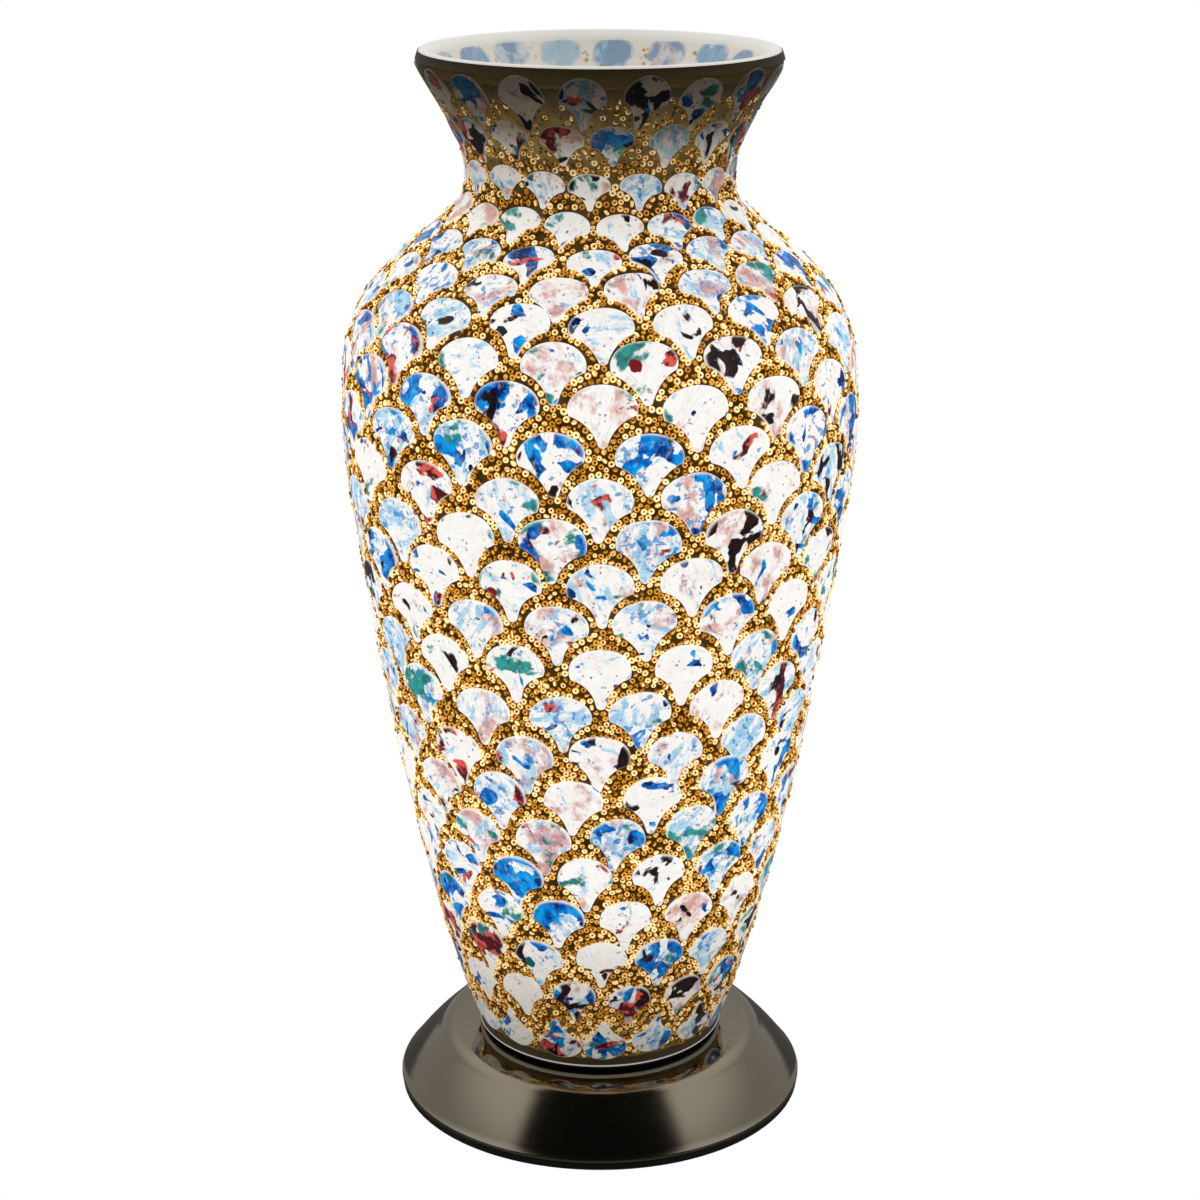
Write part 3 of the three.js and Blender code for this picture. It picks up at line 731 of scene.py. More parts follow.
def scatter_beads(tiles):
    """Angles, ways and sizes of the beads: chains that hug the tiles first, then whatever fits
    between them, and small ones in the gaps that are left."""
    angles, ways = [], []
    for way in np.arange(LOWEST_BEAD, HIGHEST_BEAD, GRID):
        count = int(TURN * wall.radius(way) / GRID)
        angles.append(TURN * (np.arange(count) + rng.uniform()) / count)
        ways.append(np.full(count, way))
    angles, ways = np.concatenate(angles), np.concatenate(ways)
    angles = angles + rng.uniform(-0.2, 0.2, len(angles)) * GRID / wall.radius(ways)
    ways = ways + rng.uniform(-0.2, 0.2, len(ways)) * GRID
    gap, nearest, around = gaps_to_tiles(tiles, angles, ways)
    places = wall.point(angles, ways)

    hugging = np.flatnonzero((gap > EDGE_GAP) & (gap < EDGE_GAP + 0.45))
    hugging = hugging[np.lexsort((around[hugging], nearest[hugging]))]
    free = np.flatnonzero(gap > EDGE_GAP)
    free = free[np.lexsort((angles[free], np.round(ways[free] / 0.8)))]
    small = np.flatnonzero(gap > EDGE_GAP * SMALL_BEAD)
    taken, sizes, grid = [], [], {}
    cells = np.floor(places / BEAD_SPACING).astype(int).tolist()
    steps = [(i, j, k) for i in (-1, 0, 1) for j in (-1, 0, 1) for k in (-1, 0, 1)]
    place_list = places.tolist()

    def lay(candidates, size):
        for index in candidates.tolist():
            x, y, z = place_list[index]
            cx, cy, cz = cells[index]
            near = (other for i, j, k in steps for other in grid.get((cx + i, cy + j, cz + k), ()))
            for ox, oy, oz, other_size in near:
                room = BEAD_SPACING * (size + other_size) / 2
                if (ox - x) ** 2 + (oy - y) ** 2 + (oz - z) ** 2 < room * room:
                    break
            else:
                grid.setdefault((cx, cy, cz), []).append((x, y, z, size))
                taken.append(index)
                sizes.append(size)

    lay(hugging, 1.0)
    lay(free, 1.0)
    lay(small, SMALL_BEAD)
    chosen = np.array(taken)
    return angles[chosen], ways[chosen], np.array(sizes)


def thin_out(angles, ways, sizes):
    """Drops beads where the lamp has fewer of them, near the mouth and the foot, and a few elsewhere."""
    chance = np.interp(ways, [0, 9, 20, 265, 285, wall.length], [0.45, 0.8, 1, 1, 0.62, 0.3])
    keep = rng.uniform(size=len(ways)) < chance * 0.985
    return angles[keep], ways[keep], sizes[keep]


def bead_shape(ring_steps=12, tube_steps=6):
    """A seed bead standing on its hole: points, directions out of its surface, and faces."""
    a = TURN * np.arange(ring_steps) / ring_steps
    b = TURN * np.arange(tube_steps) / tube_steps + math.pi / tube_steps
    b, a = (x.ravel() for x in np.meshgrid(b, a, indexing="ij"))
    middle = BEAD_RADIUS - BEAD_TUBE
    radius = middle + BEAD_TUBE * np.cos(b)
    points = np.stack([radius * np.cos(a), radius * np.sin(a), BEAD_HALF_HEIGHT * np.sin(b)], 1)
    out = np.stack([np.cos(b) * np.cos(a), np.cos(b) * np.sin(a), np.sin(b)], 1)
    return points, out, ring_faces(tube_steps, ring_steps)


def bead_axes(normals):
    """Which way each bead's hole points: mostly out of the wall, some lying on their sides."""
    count = len(normals)
    tilt = np.abs(rng.normal(0, math.radians(20), count))
    lying = rng.uniform(size=count) < 0.27
    tilt[lying] = rng.uniform(math.radians(50), math.radians(90), lying.sum())
    helper = rng.normal(size=(count, 3))
    across = np.cross(normals, helper)
    across /= np.linalg.norm(across, axis=1)[:, None]
    return normals * np.cos(tilt)[:, None] + across * np.sin(tilt)[:, None]


def gold_beads():
    """Amber glass beads lined with silver, with painted light: bright where they face outwards, as a
    painted highlight and glow, and brown with painted shade at their sides and in the hole."""
    bead = Shader("gold_seed_beads")
    crown_highlight = bead.attribute("crown_highlight")
    tone = bead.attribute("tone")
    grain = bead.noise(bead.place(), 0.5, 2)
    # Painted highlight and shade: pale cream where a bead faces out of the wall, brown where it faces
    # sideways or inwards.
    level = bead.plus(crown_highlight, bead.between(grain, 0.3, 0.7, -0.12, 0.12))
    level = bead.plus(level, bead.between(tone, 0.0, 1.0, -0.28, 0.20))
    color = bead.ramp(
        level,
        [
            (0.06, (0.045, 0.016, 0.002)),
            (0.30, (0.17, 0.060, 0.004)),
            (0.54, (0.46, 0.180, 0.010)),
            (0.74, (0.85, 0.43, 0.050)),
            (0.90, (1.0, 0.85, 0.48)),
        ],
    )
    lit = bead.mix(1.0, color, glow(bead, BEAD_GLOW), "MULTIPLY")
    bead.set(base_color=color, metallic=0.7, roughness=0.24, emission_color=lit, emission_strength=1.0)
    return bead.material


def sinking(ways):
    """How far the beads are sunk below the faces of the tiles: deeper in the thick adhesive near
    the mouth."""
    top = wall.length
    return np.interp(ways, [0, 12, top - 40, top - 26, top], [0.95, 0.75, 0.75, 1.12, 1.2])


def build_beads(tiles):
    angles, ways, sizes = thin_out(*scatter_beads(tiles))
    normals = wall.normal(angles, ways)
    axes = bead_axes(normals)
    depth = sinking(ways) + rng.normal(0, 0.10, len(ways))
    centres = wall.point(angles, ways, depth)
    size = rng.uniform(0.84, 1.06, len(ways)) * sizes
    tone = rng.uniform(0, 1, len(ways))
    points, out, faces = bead_shape()
    helper = np.where(np.abs(axes[:, 2:]) > 0.8, [[1.0, 0, 0]], [[0, 0, 1.0]])
    across = np.cross(helper, axes)
    across /= np.linalg.norm(across, axis=1)[:, None]
    up = np.cross(axes, across)
    turns = np.stack([across, up, axes], 2)
    material = gold_beads()
    for row in range(1, len(ROWS) + 1):
        top = ROW_EDGES[row - 1] if row > 1 else wall.length
        bottom = ROW_EDGES[row] if row < len(ROWS) else 0
        here = np.flatnonzero((ways < top) & (ways >= bottom))
        placed = np.einsum("nij,pj->npi", turns[here], points) * size[here, None, None]
        placed += centres[here, None]
        facing = np.einsum("nij,pj->npi", turns[here], out)
        # How far each point of a bead faces out of the wall, which sets its painted highlight.
        crown_highlight = np.clip((facing * normals[here, None]).sum(-1), 0, 1)
        starts = np.arange(len(here)) * len(points)
        all_faces = (starts[:, None, None] + faces).reshape(-1, 4).tolist()
        attributes = {"crown_highlight": crown_highlight.ravel(), "tone": np.repeat(tone[here], len(points))}
        name = f"beads_row_{row:02d}"
        piece = mesh_piece(name, placed.reshape(-1, 3), all_faces, material, 0, attributes)
        stand_for(piece, "vase", "mosaic")


# ------------------------------ adhesive, rim band and glass

ADHESIVE_DEPTH = 1.15
GLASS_DEPTH = 2.7
GLASS_WALL = 2.2
FOOT_DROP = 1.2  # how far the ground edge reaches down outside the gasket
SEEN_INSIDE = 75  # length of the inner wall that can be seen through the mouth
BAND_DARK = (0.024, 0.016, 0.005)
BAND_PROUD = 0.15  # depth of the band's face under the outside of the vase
BAND_THIN = 0.68  # depth of its face where it runs out behind the highest tiles
LIP_INSET = 1.1  # from the edge of the band to the edge of the glass
BAND_FOOT_WAY = ROW_MIDDLES[0] + tile_size(1)[1] / 2 + 0.3


def adhesive():
    """Olive-brown adhesive: nearly black under the band, tan and full of small pits between the highest
    tiles, with painted shade making the pits near black, and dark again where the lit beads cover it."""
    bed = Shader("olive_adhesive")
    place = bed.place()
    grain = bed.noise(place, 0.9, 4, 0.6)
    height = height_share(bed)
    broad = bed.noise(place, 5, 3)
    dark = bed.blend(broad, 0.35, 0.65, (0.040, 0.022, 0.004), (0.085, 0.048, 0.009))
    tan = bed.blend(broad, 0.35, 0.65, (0.115, 0.074, 0.020), (0.20, 0.13, 0.040))
    # Small pits, painted near black with the shade inside them.
    for size, deep in ((1.9, 0.20), (1.2, 0.15)):
        holes = bed.cells(place, size)["Distance"]
        tan = bed.mix(bed.between(holes, deep, deep + 0.08), (0.022, 0.013, 0.004), tan)
    upper = bed.between(height, 0.885, 0.93)
    lower = bed.between(height, 0.165, 0.105)
    color = bed.mix(bed.math("MAXIMUM", upper, bed.times(lower, 0.6)), dark, tan)
    color = bed.blend(height, 0.93, 0.985, color, BAND_DARK)
    bed.set(base_color=color, roughness=0.5, specular_ior_level=0.3)
    # Painted glow: the adhesive gives off half its own colour as light.
    bed.set(emission_color=color, emission_strength=0.5)
    bed.bump(grain, 0.25, 0.7)
    return bed.material


def build_adhesive():
    """The uneven bed under the mosaic; its first and last rings turn in to the glass."""
    angles = TURN * np.arange(300) / 300
    ways = np.concatenate([[0.2, 0.3], np.arange(1.3, wall.length - 4.5, 1.3)])
    w, a = (x.ravel() for x in np.meshgrid(ways, angles, indexing="ij"))
    stops = [0, 14, wall.length - 40, wall.length - 24]
    depth = np.interp(w, stops, [1.3, ADHESIVE_DEPTH, ADHESIVE_DEPTH, 0.72])
    for i, spot in enumerate(wall.point(a, w)):
        spot = Vector(spot)
        depth[i] += 0.22 * noise.noise(spot * 0.25) + 0.12 * noise.noise(spot * 0.7)
    depth[(w == ways[0]) | (w == ways[-1])] = GLASS_DEPTH
    faces = ring_faces(len(ways), len(angles), closed=False)
    piece = mesh_piece("adhesive_bed", wall.point(a, w, depth), faces, adhesive(), 0)
    stand_for(piece, "vase", "mosaic")


def glazed_band():
    band = Shader("glazed_band")
    streaks = band.noise(band.place(0.05, 0.05, 1.6), 1.0, 4, 0.6)
    mottle = band.noise(band.place(), 6, 3)
    low, high = wall.height(BAND_FOOT_WAY - 4), LIP_Z
    fade = band.between(band.split(band.place())[2], low, high)
    color = band.mix(fade, (0.080, 0.053, 0.016), BAND_DARK)
    color = band.mix(band.between(streaks, 0.35, 0.65, 0, 0.5), color, (0.030, 0.020, 0.006))
    color = band.mix(band.between(mottle, 0.5, 0.75, 0, 0.35), color, (0.050, 0.034, 0.011))
    band.set(base_color=color, roughness=0.5, specular_ior_level=0.15)
    # Painted glow: the band gives off about a third of its own colour as light.
    band.set(emission_color=color, emission_strength=0.35)
    band.bump(streaks, 0.12, 0.5)
    return band.material


def build_rim_band():
    """Proud round the lip; below that it runs out thin, behind the faces of the highest tiles."""
    low = wall.way_at(wall.edges[0][1]) - 1.2
    proud = np.linspace(BAND_FOOT_WAY, wall.length - 0.6, 8)
    thin = np.linspace(low, BAND_FOOT_WAY - 0.5, 4)
    outside = wall.outline(thin, BAND_THIN) + wall.outline(proud, BAND_PROUD)
    top_r, top_z = outside[-1]
    inside = [(top_r - 0.5, top_z - 0.1), wall.outline(np.array([low]), 1.6)[0]]
    piece = lathe("glazed_rim_band", outside + inside, glazed_band(), 160)
    stand_for(piece, "vase", "glaze", "rim_band")


def frosted_glass():
    """White frosted glass: the tiles show through it as soft shapes in their own colours, the beads
    as gold specks."""
    glass = Shader("frosted_glass")
    place = glass.place()
    height = glass.split(place)[2]
    fine = glass.noise(place, 1.2, 3)
    cream = glass.blend(fine, 0.3, 0.7, (0.80, 0.73, 0.63), (0.88, 0.83, 0.74))
    blue_share, wash_share, rose_share = glass.split(glass.attribute("ghost_tint", "Vector"))
    streaks = glass.noise(glass.stretched(place, 1, 1, 0.5), 3.5, 4, 0.6)
    tile = glass.blend(fine, 0.3, 0.7, (0.70, 0.71, 0.69), (0.60, 0.66, 0.68))
    for share, reach, low, high, strength, color in (
        (wash_share, 0.22, 0.46, 0.62, 0.55, (0.25, 0.47, 0.62)),
        (rose_share, 0.22, 0.56, 0.70, 0.60, (0.55, 0.38, 0.34)),
        (blue_share, 0.24, 0.58, 0.66, 0.55, (0.08, 0.30, 0.54)),
    ):
        tinted = glass.between(glass.math("MULTIPLY_ADD", share, reach, streaks), low, high)
        tile = glass.mix(glass.times(tinted, strength), tile, color)
    specks = glass.between(glass.cells(place, 1.9)["Distance"], 0.50, 0.24)
    clusters = glass.between(glass.noise(place, 6, 2), 0.42, 0.55)
    seams = glass.mix(glass.times(specks, clusters), cream, (0.46, 0.26, 0.04))
    band_foot, beads_top = wall.height(BAND_FOOT_WAY - 1), wall.height(BAND_FOOT_WAY - 3)
    between_tiles = glass.blend(height, band_foot, beads_top, cream, seams)
    inside = glass.mix(glass.attribute("ghost"), between_tiles, tile)
    smear_foot = FOOT_Z - FOOT_DROP + 0.5
    smeared = glass.between(height, smear_foot, smear_foot + 0.3)
    smeared = glass.times(smeared, glass.between(height, LIP_Z / 2, LIP_Z / 2 - 1))
    outside = glass.mix(smeared, (0.92, 0.90, 0.84), (0.05, 0.032, 0.009))
    color = glass.mix(glass.attribute("inner"), outside, inside)
    brightness = glass.ramp(
        glass.math("DIVIDE", height, LIP_Z),
        [(0.07, 0.28), (0.30, 0.45), (0.85, 0.45), (0.96, 0.33), (0.990, 0.28), (0.997, 0.36)],
    )
    lit = glass.mix(1.0, color, brightness, "MULTIPLY")
    glass.set(base_color=color, roughness=0.4, emission_color=lit, emission_strength=0.92)
    glass.bump(fine, 0.05, 0.4)
    return glass.material


def build_glass(tiles):
    """Outer and inner wall with a round lip and a ground foot; the inner wall knows which tiles lie
    behind it."""
    sides = 360
    angles = TURN * np.arange(sides) / sides
    outside = np.arange(3, wall.length - 3, 3.0)
    coarse = np.arange(3, wall.length - SEEN_INSIDE, 4.0)
    inside = np.concatenate([coarse, np.arange(wall.length - SEEN_INSIDE, wall.length - 3, 0.9)])
    half = GLASS_WALL / 2
    lip = arc(LIP_RADIUS - LIP_INSET - half, LIP_Z - half, half, 0, 180, 8)
    foot_r, foot_z = radius_of("vase_gasket") + 0.9, FOOT_Z - FOOT_DROP
    foot = [
        (foot_r - 3.2, FOOT_Z + 0.4),
        (foot_r - 2.6, FOOT_Z),
        (foot_r - 1.6, FOOT_Z - 0.1),
        (foot_r - 1.3, foot_z + 0.2),
        (foot_r - 1.0, foot_z),
        (foot_r - 0.4, foot_z),
        (foot_r, foot_z + 0.4),
    ]
    outer = foot + wall.outline(outside, GLASS_DEPTH) + lip
    outline = outer + wall.outline(inside[::-1], GLASS_DEPTH + GLASS_WALL)
    inner = np.repeat(np.arange(len(outline)) >= len(outer), sides)
    around, ways = np.tile(angles, len(inside)), np.repeat(inside[::-1], sides)
    gap, nearest, _ = gaps_to_tiles(tiles, around, ways)
    ghost = np.zeros(len(inner))
    ghost[inner] = np.clip(0.5 - gap / 1.2, 0, 1)
    tints = np.array([(tile.marks[0], tile.tints[0], tile.tints[1]) for tile in tiles])
    ghost_tint = np.zeros((len(inner), 3))
    ghost_tint[inner] = tints[nearest]
    attributes = {"ghost": ghost, "inner": inner, "ghost_tint": ghost_tint}
    piece = lathe("glass_vase", outline, frosted_glass(), sides, 60, attributes)
    stand_for(piece, "vase", "frosted_glass", "vase_glass")


# ------------------------------ base

BASE_RADIUS = radius_of("base_shell")
SHELL_Z, PLATEAU_Z = heights_of("base_shell")
SHELL_WALL = 1.0
SHOULDER_RADIUS = 6.0  # of the bend between plateau and skirt
PLATEAU_RADIUS = 44.2
SKIRT_SLOPE = 49  # degrees
SKIRT_SWELL = 0.7  # how far the skirt swells out of a straight line
SHELL_SHARP = 35  # degrees at which its edges show as sharp
LINE_DEPTH = 0.006  # of the spinning lines
WAVE_DEPTH = 0.08  # of the slow waves on the plateau


def gunmetal():
    """Dark plated metal with the fine rings left by spinning it, polished on the plateau."""
    color = (0.27, 0.235, 0.175)
    metal = Shader("spun_gunmetal")
    x, y, z = metal.split(metal.place())
    radius = metal.math("SQRT", metal.plus(metal.times(x, x), metal.times(y, y)))
    rings = metal.node("ShaderNodeCombineXYZ", {0: radius, 1: metal.times(z, 0.7)}).outputs[0]
    lines = metal.noise(rings, 0.16, 3, 0.6)
    smudge = metal.noise(metal.place(), 14, 3, 0.6)
    polish = metal.between(radius, PLATEAU_RADIUS, PLATEAU_RADIUS + 3, 0.0, 0.12)
    brushed = metal.between(lines, 0.3, 0.7, 0, 0.05)
    rough = metal.plus(brushed, metal.between(smudge, 0.3, 0.7, 0, 0.03))
    shade = metal.between(lines, 0.3, 0.7)
    tint = metal.mix(shade, tuple(0.93 * c for c in color), color)
    metal.set(base_color=tint, metallic=1.0, roughness=metal.plus(rough, polish))
    waves = metal.between(radius, PLATEAU_RADIUS, PLATEAU_RADIUS - 2, 0, WAVE_DEPTH / LINE_DEPTH)
    relief = metal.math("MULTIPLY_ADD", metal.noise(metal.place(), 5, 2), waves, lines)
    metal.bump(relief, LINE_DEPTH, 0.5)
    return metal.material


def build_base_shell():
    """Spun sheet: a rolled foot edge, a swelling skirt, a round shoulder and a flat plateau."""
    centre_z = PLATEAU_Z - SHOULDER_RADIUS
    shoulder = arc(PLATEAU_RADIUS, centre_z, SHOULDER_RADIUS, 90 - SKIRT_SLOPE, 90, 16)
    inner = arc(PLATEAU_RADIUS, centre_z, SHOULDER_RADIUS - SHELL_WALL, 90, 90 - SKIRT_SLOPE, 8)
    start, end = np.array((BASE_RADIUS - 0.6, SHELL_Z + 1.4)), np.array(shoulder[0])
    swell = (start + end) / 2 + SKIRT_SWELL
    skirt = bezier(start, swell, end, 12).tolist()
    tube = radius_of("threaded_tube") + 0.6
    edge = [
        (BASE_RADIUS - 1.2, SHELL_Z),
        (BASE_RADIUS - 0.2, SHELL_Z),
        (BASE_RADIUS, SHELL_Z + 0.2),
        (BASE_RADIUS, SHELL_Z + 0.7),
        (BASE_RADIUS - 0.15, SHELL_Z + 1.1),
    ]
    plateau = [(r, PLATEAU_Z) for r in (34, 20, tube)]
    under = [(tube, PLATEAU_Z - SHELL_WALL)]
    inner += [(BASE_RADIUS - 1.2, SHELL_Z + 1)]
    outline = edge + skirt + shoulder + plateau + under + inner
    piece = lathe("spun_base_shell", outline, gunmetal(), 256, SHELL_SHARP)
    cut_inlet(piece)
    stand_for(piece, "base", "gunmetal", "base_shell")


def cut_inlet(piece):
    """Cuts the hole for the cable bush through the back of the skirt."""
    low, high = box_mm("cord_grommet")
    radius, start, end = radius_of("cord_grommet") + 0.3, low[1] - 3, high[1] + 3
    outline = [(0, start), (radius, start), (radius, end), (0, end)]
    cutter = lathe("inlet_cutter", outline, piece.data.materials[0], 48)
    lay_in_inlet(cutter)
    modifier = piece.modifiers.new("inlet", "BOOLEAN")
    modifier.object = cutter
    modifier.operation = "DIFFERENCE"
    graph = bpy.context.evaluated_depsgraph_get()
    cut = bpy.data.meshes.new_from_object(piece.evaluated_get(graph))
    piece.modifiers.remove(modifier)
    cut.set_sharp_from_angle(angle=math.radians(SHELL_SHARP))
    piece.data = cut
    bpy.data.objects.remove(cutter)


def lay_in_inlet(piece):
    """Lays a piece made along Z down at the cable inlet, pointing out of the back."""
    height = sum(heights_of("cord_grommet")) / 2
    down = Matrix.Rotation(-math.pi / 2, 4, "X")
    piece.data.transform(Matrix.Translation((0, 0, height * MM)) @ down)


def black_rubber():
    made = Shader("black_rubber")
    grain = made.noise(made.place(), 0.5, 4, 0.7)
    shade = made.blend(grain, 0.3, 0.7, (0.008, 0.008, 0.008), (0.0144, 0.0144, 0.0144))
    made.set(base_color=shade, roughness=made.between(grain, 0.2, 0.8, 0.6, 0.85))
    made.bump(grain, 0.06, 0.6)
    return made.material


def build_pad_and_rings():
    black = black_rubber()
    radius, (low, high) = radius_of("foot_pad"), heights_of("foot_pad")
    pad = rounded([(0, low), (radius, low), (radius, high), (0, high)], 0.4)
    stand_for(lathe("rubber_foot_pad", pad, black), "base", "black_rubber", "foot_pad")
    radius, (low, high) = radius_of("vase_gasket"), heights_of("vase_gasket")
    inner = radius_of("vase_seat") + 0.6
    ring = rounded([(radius, low), (radius, high), (inner, high), (inner, low)], 0.5)
    stand_for(lathe("rubber_vase_gasket", ring, black), "base", "black_rubber", "vase_gasket")
    radius, bore = radius_of("cord_grommet"), 3.15
    low, high = (corner[1] for corner in box_mm("cord_grommet"))
    outer_round, bore_round = 1.6, 0.8
    bush = [(bore, low), (radius, low), (radius, high - outer_round)]
    bush += arc(radius - outer_round, high - outer_round, outer_round, 0, 90, 5)
    bush += arc(bore + bore_round, high - bore_round, bore_round, 90, 180, 4)
    grommet = lathe("rubber_cord_grommet", bush, black, 64)
    lay_in_inlet(grommet)
    stand_for(grommet, "base", "black_rubber", "cord_grommet")


# ------------------------------ lamp holder, bulb and fixings


def section_of(node):
    """Outline of a turned CAD node, its mesh cut by a half-plane, as [radius, height] points that
    go anticlockwise."""
    shape = bmesh.new()
    shape.from_mesh(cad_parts[node].data)
    near = 0.001 * MM
    bmesh.ops.remove_doubles(shape, verts=shape.verts, dist=near)
    for normal, both_sides in (((1, 0, 0), True), ((0, 1, 0), False)):
        everything = [*shape.verts, *shape.edges, *shape.faces]
        bmesh.ops.bisect_plane(
            shape,
            geom=everything,
            plane_co=(0, 0, 0),
            plane_no=normal,
            clear_outer=True,
            clear_inner=both_sides,
        )
    bmesh.ops.remove_doubles(shape, verts=shape.verts, dist=near)
    ends = [v for v in shape.verts if len(v.link_edges) == 1]
    here, edge = (ends or list(shape.verts))[0], None
    outline = []
    while here and len(outline) < len(shape.verts):
        outline.append((-here.co.y / MM, here.co.z / MM))
        onward = [e for e in here.link_edges if e is not edge]
        edge = onward[0] if onward else None
        here = edge.other_vert(here) if edge else None
    shape.free()
    r, z = np.array(outline).T
    clockwise = (r * np.roll(z, -1) - np.roll(r, -1) * z).sum() < 0
    return outline[::-1] if clockwise else outline


def spaced(outline, step):
    """The closed outline with points no further apart than the step."""
    made = []
    for a, b in zip(outline, outline[1:] + outline[:1]):
        count = max(1, math.ceil(math.dist(a, b) / step))
        made += np.linspace(a, b, count, endpoint=False).tolist()
    return made


def sink_surface(piece, low, high, radius, depth_at):
    """Moves the outer points between two heights inwards, by a depth for their angle and height."""
    for vertex in piece.data.vertices:
        x, y, z = vertex.co / MM
        distance = math.hypot(x, y)
        if low < z < high and distance > radius:
            fade = min(1, (z - low) / 1.5, (high - z) / 1.5)
            share = 1 - fade * depth_at(math.atan2(x, -y), z) / distance
            vertex.co.x *= share
            vertex.co.y *= share
    piece.data.update()


def finish(name, color, other, grain, roughness, metallic=0.0, depth=0.02):
    """A plain finish with its own grain: two near tones, uneven gloss and a slight relief."""
    made = Shader(name)
    place = made.place()
    fine = made.noise(place, grain, 4, 0.6)
    broad = made.noise(place, grain * 8, 3)
    tone = made.math("MULTIPLY_ADD", broad, 0.5, made.times(fine, 0.5))
    made.set(base_color=made.blend(tone, 0.38, 0.62, color, other), metallic=metallic)
    made.set(roughness=made.between(fine, 0.25, 0.75, *roughness))
    made.bump(fine, depth, 0.5)
    return made


def circuit_board():
    """Green board with copper tracks and tinned pads under the solder mask."""
    board = Shader("circuit_board")
    place = board.place()
    tracks = board.cells(place, 2.4, "DISTANCE_TO_EDGE")["Distance"]
    pads = board.cells(place, 2.4)["Distance"]
    green = board.blend(tracks, 0.05, 0.09, (0.05, 0.20, 0.08), (0.012, 0.085, 0.035))
    color = board.blend(pads, 0.16, 0.12, green, (0.62, 0.60, 0.56))
    board.set(base_color=color, roughness=board.between(pads, 0.1, 0.2, 0.25, 0.4))
    return board.material


def glowing_globe():
    """Opal plastic lit from inside, a little deeper in colour towards its neck."""
    globe = finish("opal_globe", (1.0, 0.95, 0.86), (0.97, 0.91, 0.80), 0.6, (0.30, 0.42), depth=0.01)
    low, high = heights_of("bulb_globe")
    warm = globe.between(globe.split(globe.place())[2], low, (low + high) / 2)
    light = globe.mix(warm, (0.95, 0.68, 0.40), (1.0, 0.86, 0.66))
    globe.set(emission_color=light, emission_strength=0.75)
    globe.material.cycles.emission_sampling = "NONE"
    return globe.material


def turned_piece(name, node, body, slot, material, corner=0.4, step=0):
    outline = rounded(section_of(node), corner)
    piece = lathe(name, spaced(outline, step) if step else outline, material, 144)
    return stand_for(piece, body, slot, node)


def build_holder(bakelite):
    """The two mouldings of the lampholder: knurled round the cap, threaded round the skirt."""

    def knurl(angle, z):
        return 0.3 + 0.3 * math.cos(36 * angle)

    def thread(angle, z):
        return 0.4 + 0.4 * math.cos(TURN * z / 3.0 - angle)

    radius = radius_of("holder_body")
    cap = turned_piece("holder_cap_moulding", "holder_cap", "base", "bakelite", bakelite, 1.2, 0.8)
    low, high = heights_of("holder_cap")
    sink_surface(cap, high - 6, high - 0.8, radius - 2.5, knurl)
    skirt = turned_piece("holder_skirt_moulding", "holder_body", "base", "bakelite", bakelite, 0.8, 0.8)
    low, high = heights_of("holder_body")
    sink_surface(skirt, low + 12, high - 3, radius - 1, thread)


def build_bulb(nickel):
    def thread(angle, z):
        return 0.38 + 0.38 * math.cos(TURN * z / (25.4 / 7) - angle)

    cap = turned_piece("bulb_screw_cap", "bulb_cap", "bulb", "nickel", nickel, 0.3, 0.45)
    low, high = heights_of("bulb_cap")
    sink_surface(cap, low + 0.5, high - 2.5, radius_of("bulb_cap") - 2, thread)
    tones = (0.83, 0.83, 0.81), (0.78, 0.78, 0.76)
    white = finish("white_plastic", *tones, 0.35, (0.42, 0.55), depth=0.015).material
    turned_piece("bulb_heat_housing", "bulb_housing", "bulb", "white_plastic", white, 1.5, 1.5)
    radius, (low, high) = radius_of("bulb_globe"), heights_of("bulb_globe")
    middle, skin = high - radius, 1.2
    start = math.degrees(math.asin((low - middle) / radius))
    outline = arc(0, middle, radius, start, 90, 40)
    outline += arc(0, middle, radius - skin, 90, start, 24)
    globe = lathe("glowing_bulb_globe", outline, glowing_globe(), 144)
    stand_for(globe, "bulb", "opal_plastic", "bulb_globe")


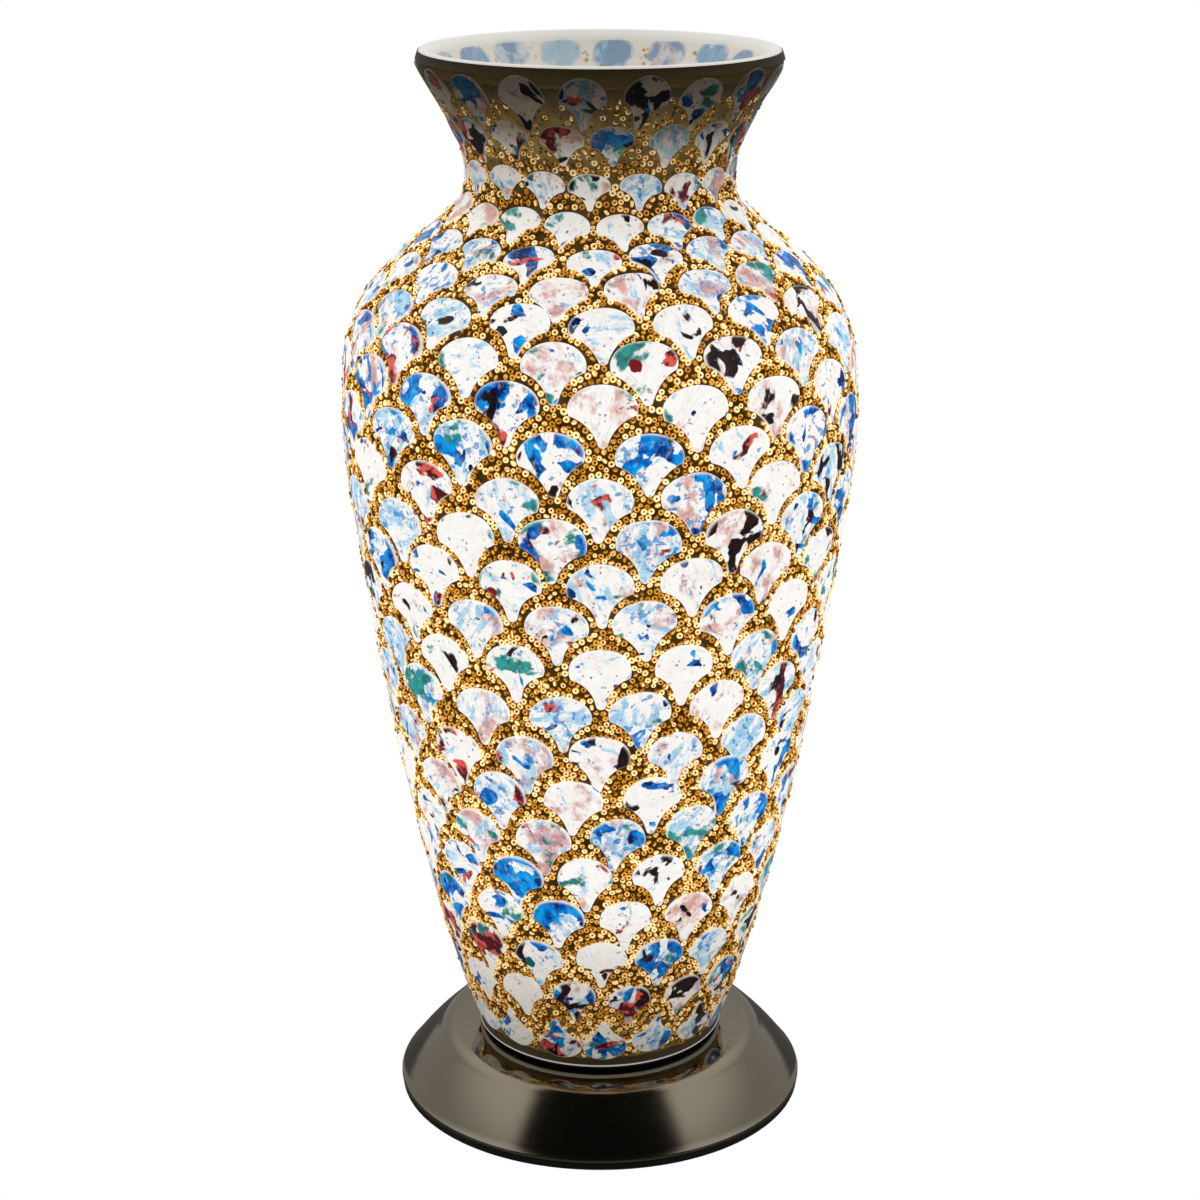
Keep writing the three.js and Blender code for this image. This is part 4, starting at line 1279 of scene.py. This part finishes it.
def build_inside():
    """Pieces that show when the vase is lifted, and better finishes for the CAD nodes that stay."""
    finishes = {  # two tones, size of the grain, range of roughness, metallic, depth of the grain
        "bakelite": ((0.030, 0.022, 0.017), (0.052, 0.034, 0.022), 0.7, (0.16, 0.26)),
        "nickel_plate": ((0.70, 0.68, 0.64), (0.60, 0.58, 0.55), 0.5, (0.14, 0.28), 1.0, 0.01),
        "zinc_plate": ((0.60, 0.62, 0.64), (0.46, 0.47, 0.48), 0.8, (0.22, 0.40), 1.0, 0.015),
        "brass": ((0.72, 0.50, 0.18), (0.60, 0.40, 0.13), 0.6, (0.16, 0.32), 1.0, 0.01),
        "cast_iron": ((0.030, 0.031, 0.033), (0.075, 0.076, 0.080), 0.9, (0.55, 0.80), 0.3, 0.15),
        "porcelain": ((0.80, 0.78, 0.72), (0.74, 0.72, 0.66), 1.5, (0.08, 0.18)),
        "aluminium": ((0.78, 0.79, 0.80), (0.68, 0.69, 0.70), 0.4, (0.28, 0.42), 1.0, 0.01),
    }
    made = {name: finish(name, *values).material for name, values in finishes.items()}
    made["circuit_board"] = circuit_board()
    build_holder(made["bakelite"])
    build_bulb(made["nickel_plate"])
    turned_piece("vase_seat_disc", "vase_seat", "base", "zinc_steel", made["zinc_plate"], 0.5)
    terminals = ("terminal_screw_live", "terminal_screw_neutral")
    fixings = ("lower_nut", "lower_washer", "upper_washer", "upper_nut")
    kept = {
        "zinc_plate": ("base_cover", "threaded_tube", *fixings),
        "cast_iron": ("base_weight",),
        "brass": ("earth_tag", "screw_shell", "centre_contact", *terminals),
        "porcelain": ("holder_insert",),
        "nickel_plate": ("bulb_contact",),
        "bakelite": ("bulb_insulator",),
        "aluminium": ("led_board",),
        "circuit_board": ("led_driver",),
    }
    for name, nodes in kept.items():
        for node in nodes:
            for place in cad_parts[node].material_slots:
                place.material = made[name]


# ------------------------------ stage, light and camera

HORIZON = 1500  # half the width of the floor
CAMERA_DISTANCE = 714.6  # in front of the lamp's axis
CAMERA_HEIGHT = 383.4
CAMERA_TILT = 17.94  # degrees down
CAMERA_LENS = 77.64


def seen_white(name, light):
    """A surface that the camera sees as plain white and that lights the lamp only softly."""
    made = Shader(name)
    made.tree.nodes.remove(made.surface)
    camera_ray = made.node("ShaderNodeLightPath").outputs["Is Camera Ray"]
    seen = made.node("ShaderNodeEmission", {"Strength": 1.0}).outputs[0]
    given = made.node("ShaderNodeEmission", {"Strength": light}).outputs[0]
    mixer = made.node("ShaderNodeMixShader", {0: camera_ray, 1: given, 2: seen})
    made.feed(made.tree.nodes["Material Output"].inputs["Surface"], mixer.outputs[0])
    return made.material


def build_stage():
    corners = [(x * HORIZON, y * HORIZON, -0.3) for x, y in ((-1, -1), (1, -1), (1, 1), (-1, 1))]
    floor = mesh_piece("floor", corners, [[0, 1, 2, 3]], seen_white("studio_white", 0.10))


def build_studio():
    """White behind the lamp as the camera sees it. What lights the lamp is softer: pale walls at the
    back and sides that brighten upwards, and a dark space overhead at the front, where the camera
    stands."""
    world = bpy.data.worlds.new("studio")
    bpy.context.scene.world = world
    world.use_nodes = True
    sky = Nodes(world.node_tree)
    way = sky.split(sky.node("ShaderNodeTexCoord").outputs["Generated"])
    lean = sky.math("MULTIPLY_ADD", way[1], 0.6, sky.math("ABSOLUTE", way[0]))
    wall_light = sky.between(lean, 0.27, 0.42, 0.01, 1.0)
    light = sky.times(wall_light, sky.between(way[2], 0.35, 0.75, 0.46, 0.95))
    ray = sky.node("ShaderNodeLightPath").outputs
    filled = sky.math("MAXIMUM", light, sky.times(ray["Is Diffuse Ray"], 0.25))
    seen = sky.node("ShaderNodeMix", {0: ray["Is Camera Ray"], 2: filled, 3: 1.0}).outputs[0]
    background = sky.tree.nodes["Background"]
    sky.feed(background.inputs["Color"], (1, 1, 1))
    sky.feed(background.inputs["Strength"], seen)


def build_camera():
    """In front of the lamp and above it, looking down at its middle."""
    camera = bpy.data.cameras.new("camera")
    camera.sensor_width = 36
    camera.lens = CAMERA_LENS
    seen_from = bpy.data.objects.new("camera", camera)
    bpy.context.scene.collection.objects.link(seen_from)
    seen_from.location = (0, -CAMERA_DISTANCE * MM, CAMERA_HEIGHT * MM)
    seen_from.rotation_euler = (math.radians(90 - CAMERA_TILT), 0, 0)
    bpy.context.scene.camera = seen_from


# ------------------------------ the whole lamp

tiles = lay_tiles()
build_tiles(tiles)
build_beads(tiles)
build_adhesive()
build_rim_band()
build_glass(tiles)
build_base_shell()
build_pad_and_rings()
build_inside()
build_stage()
build_studio()
build_camera()
bpy.context.scene.view_settings.view_transform = "Standard"
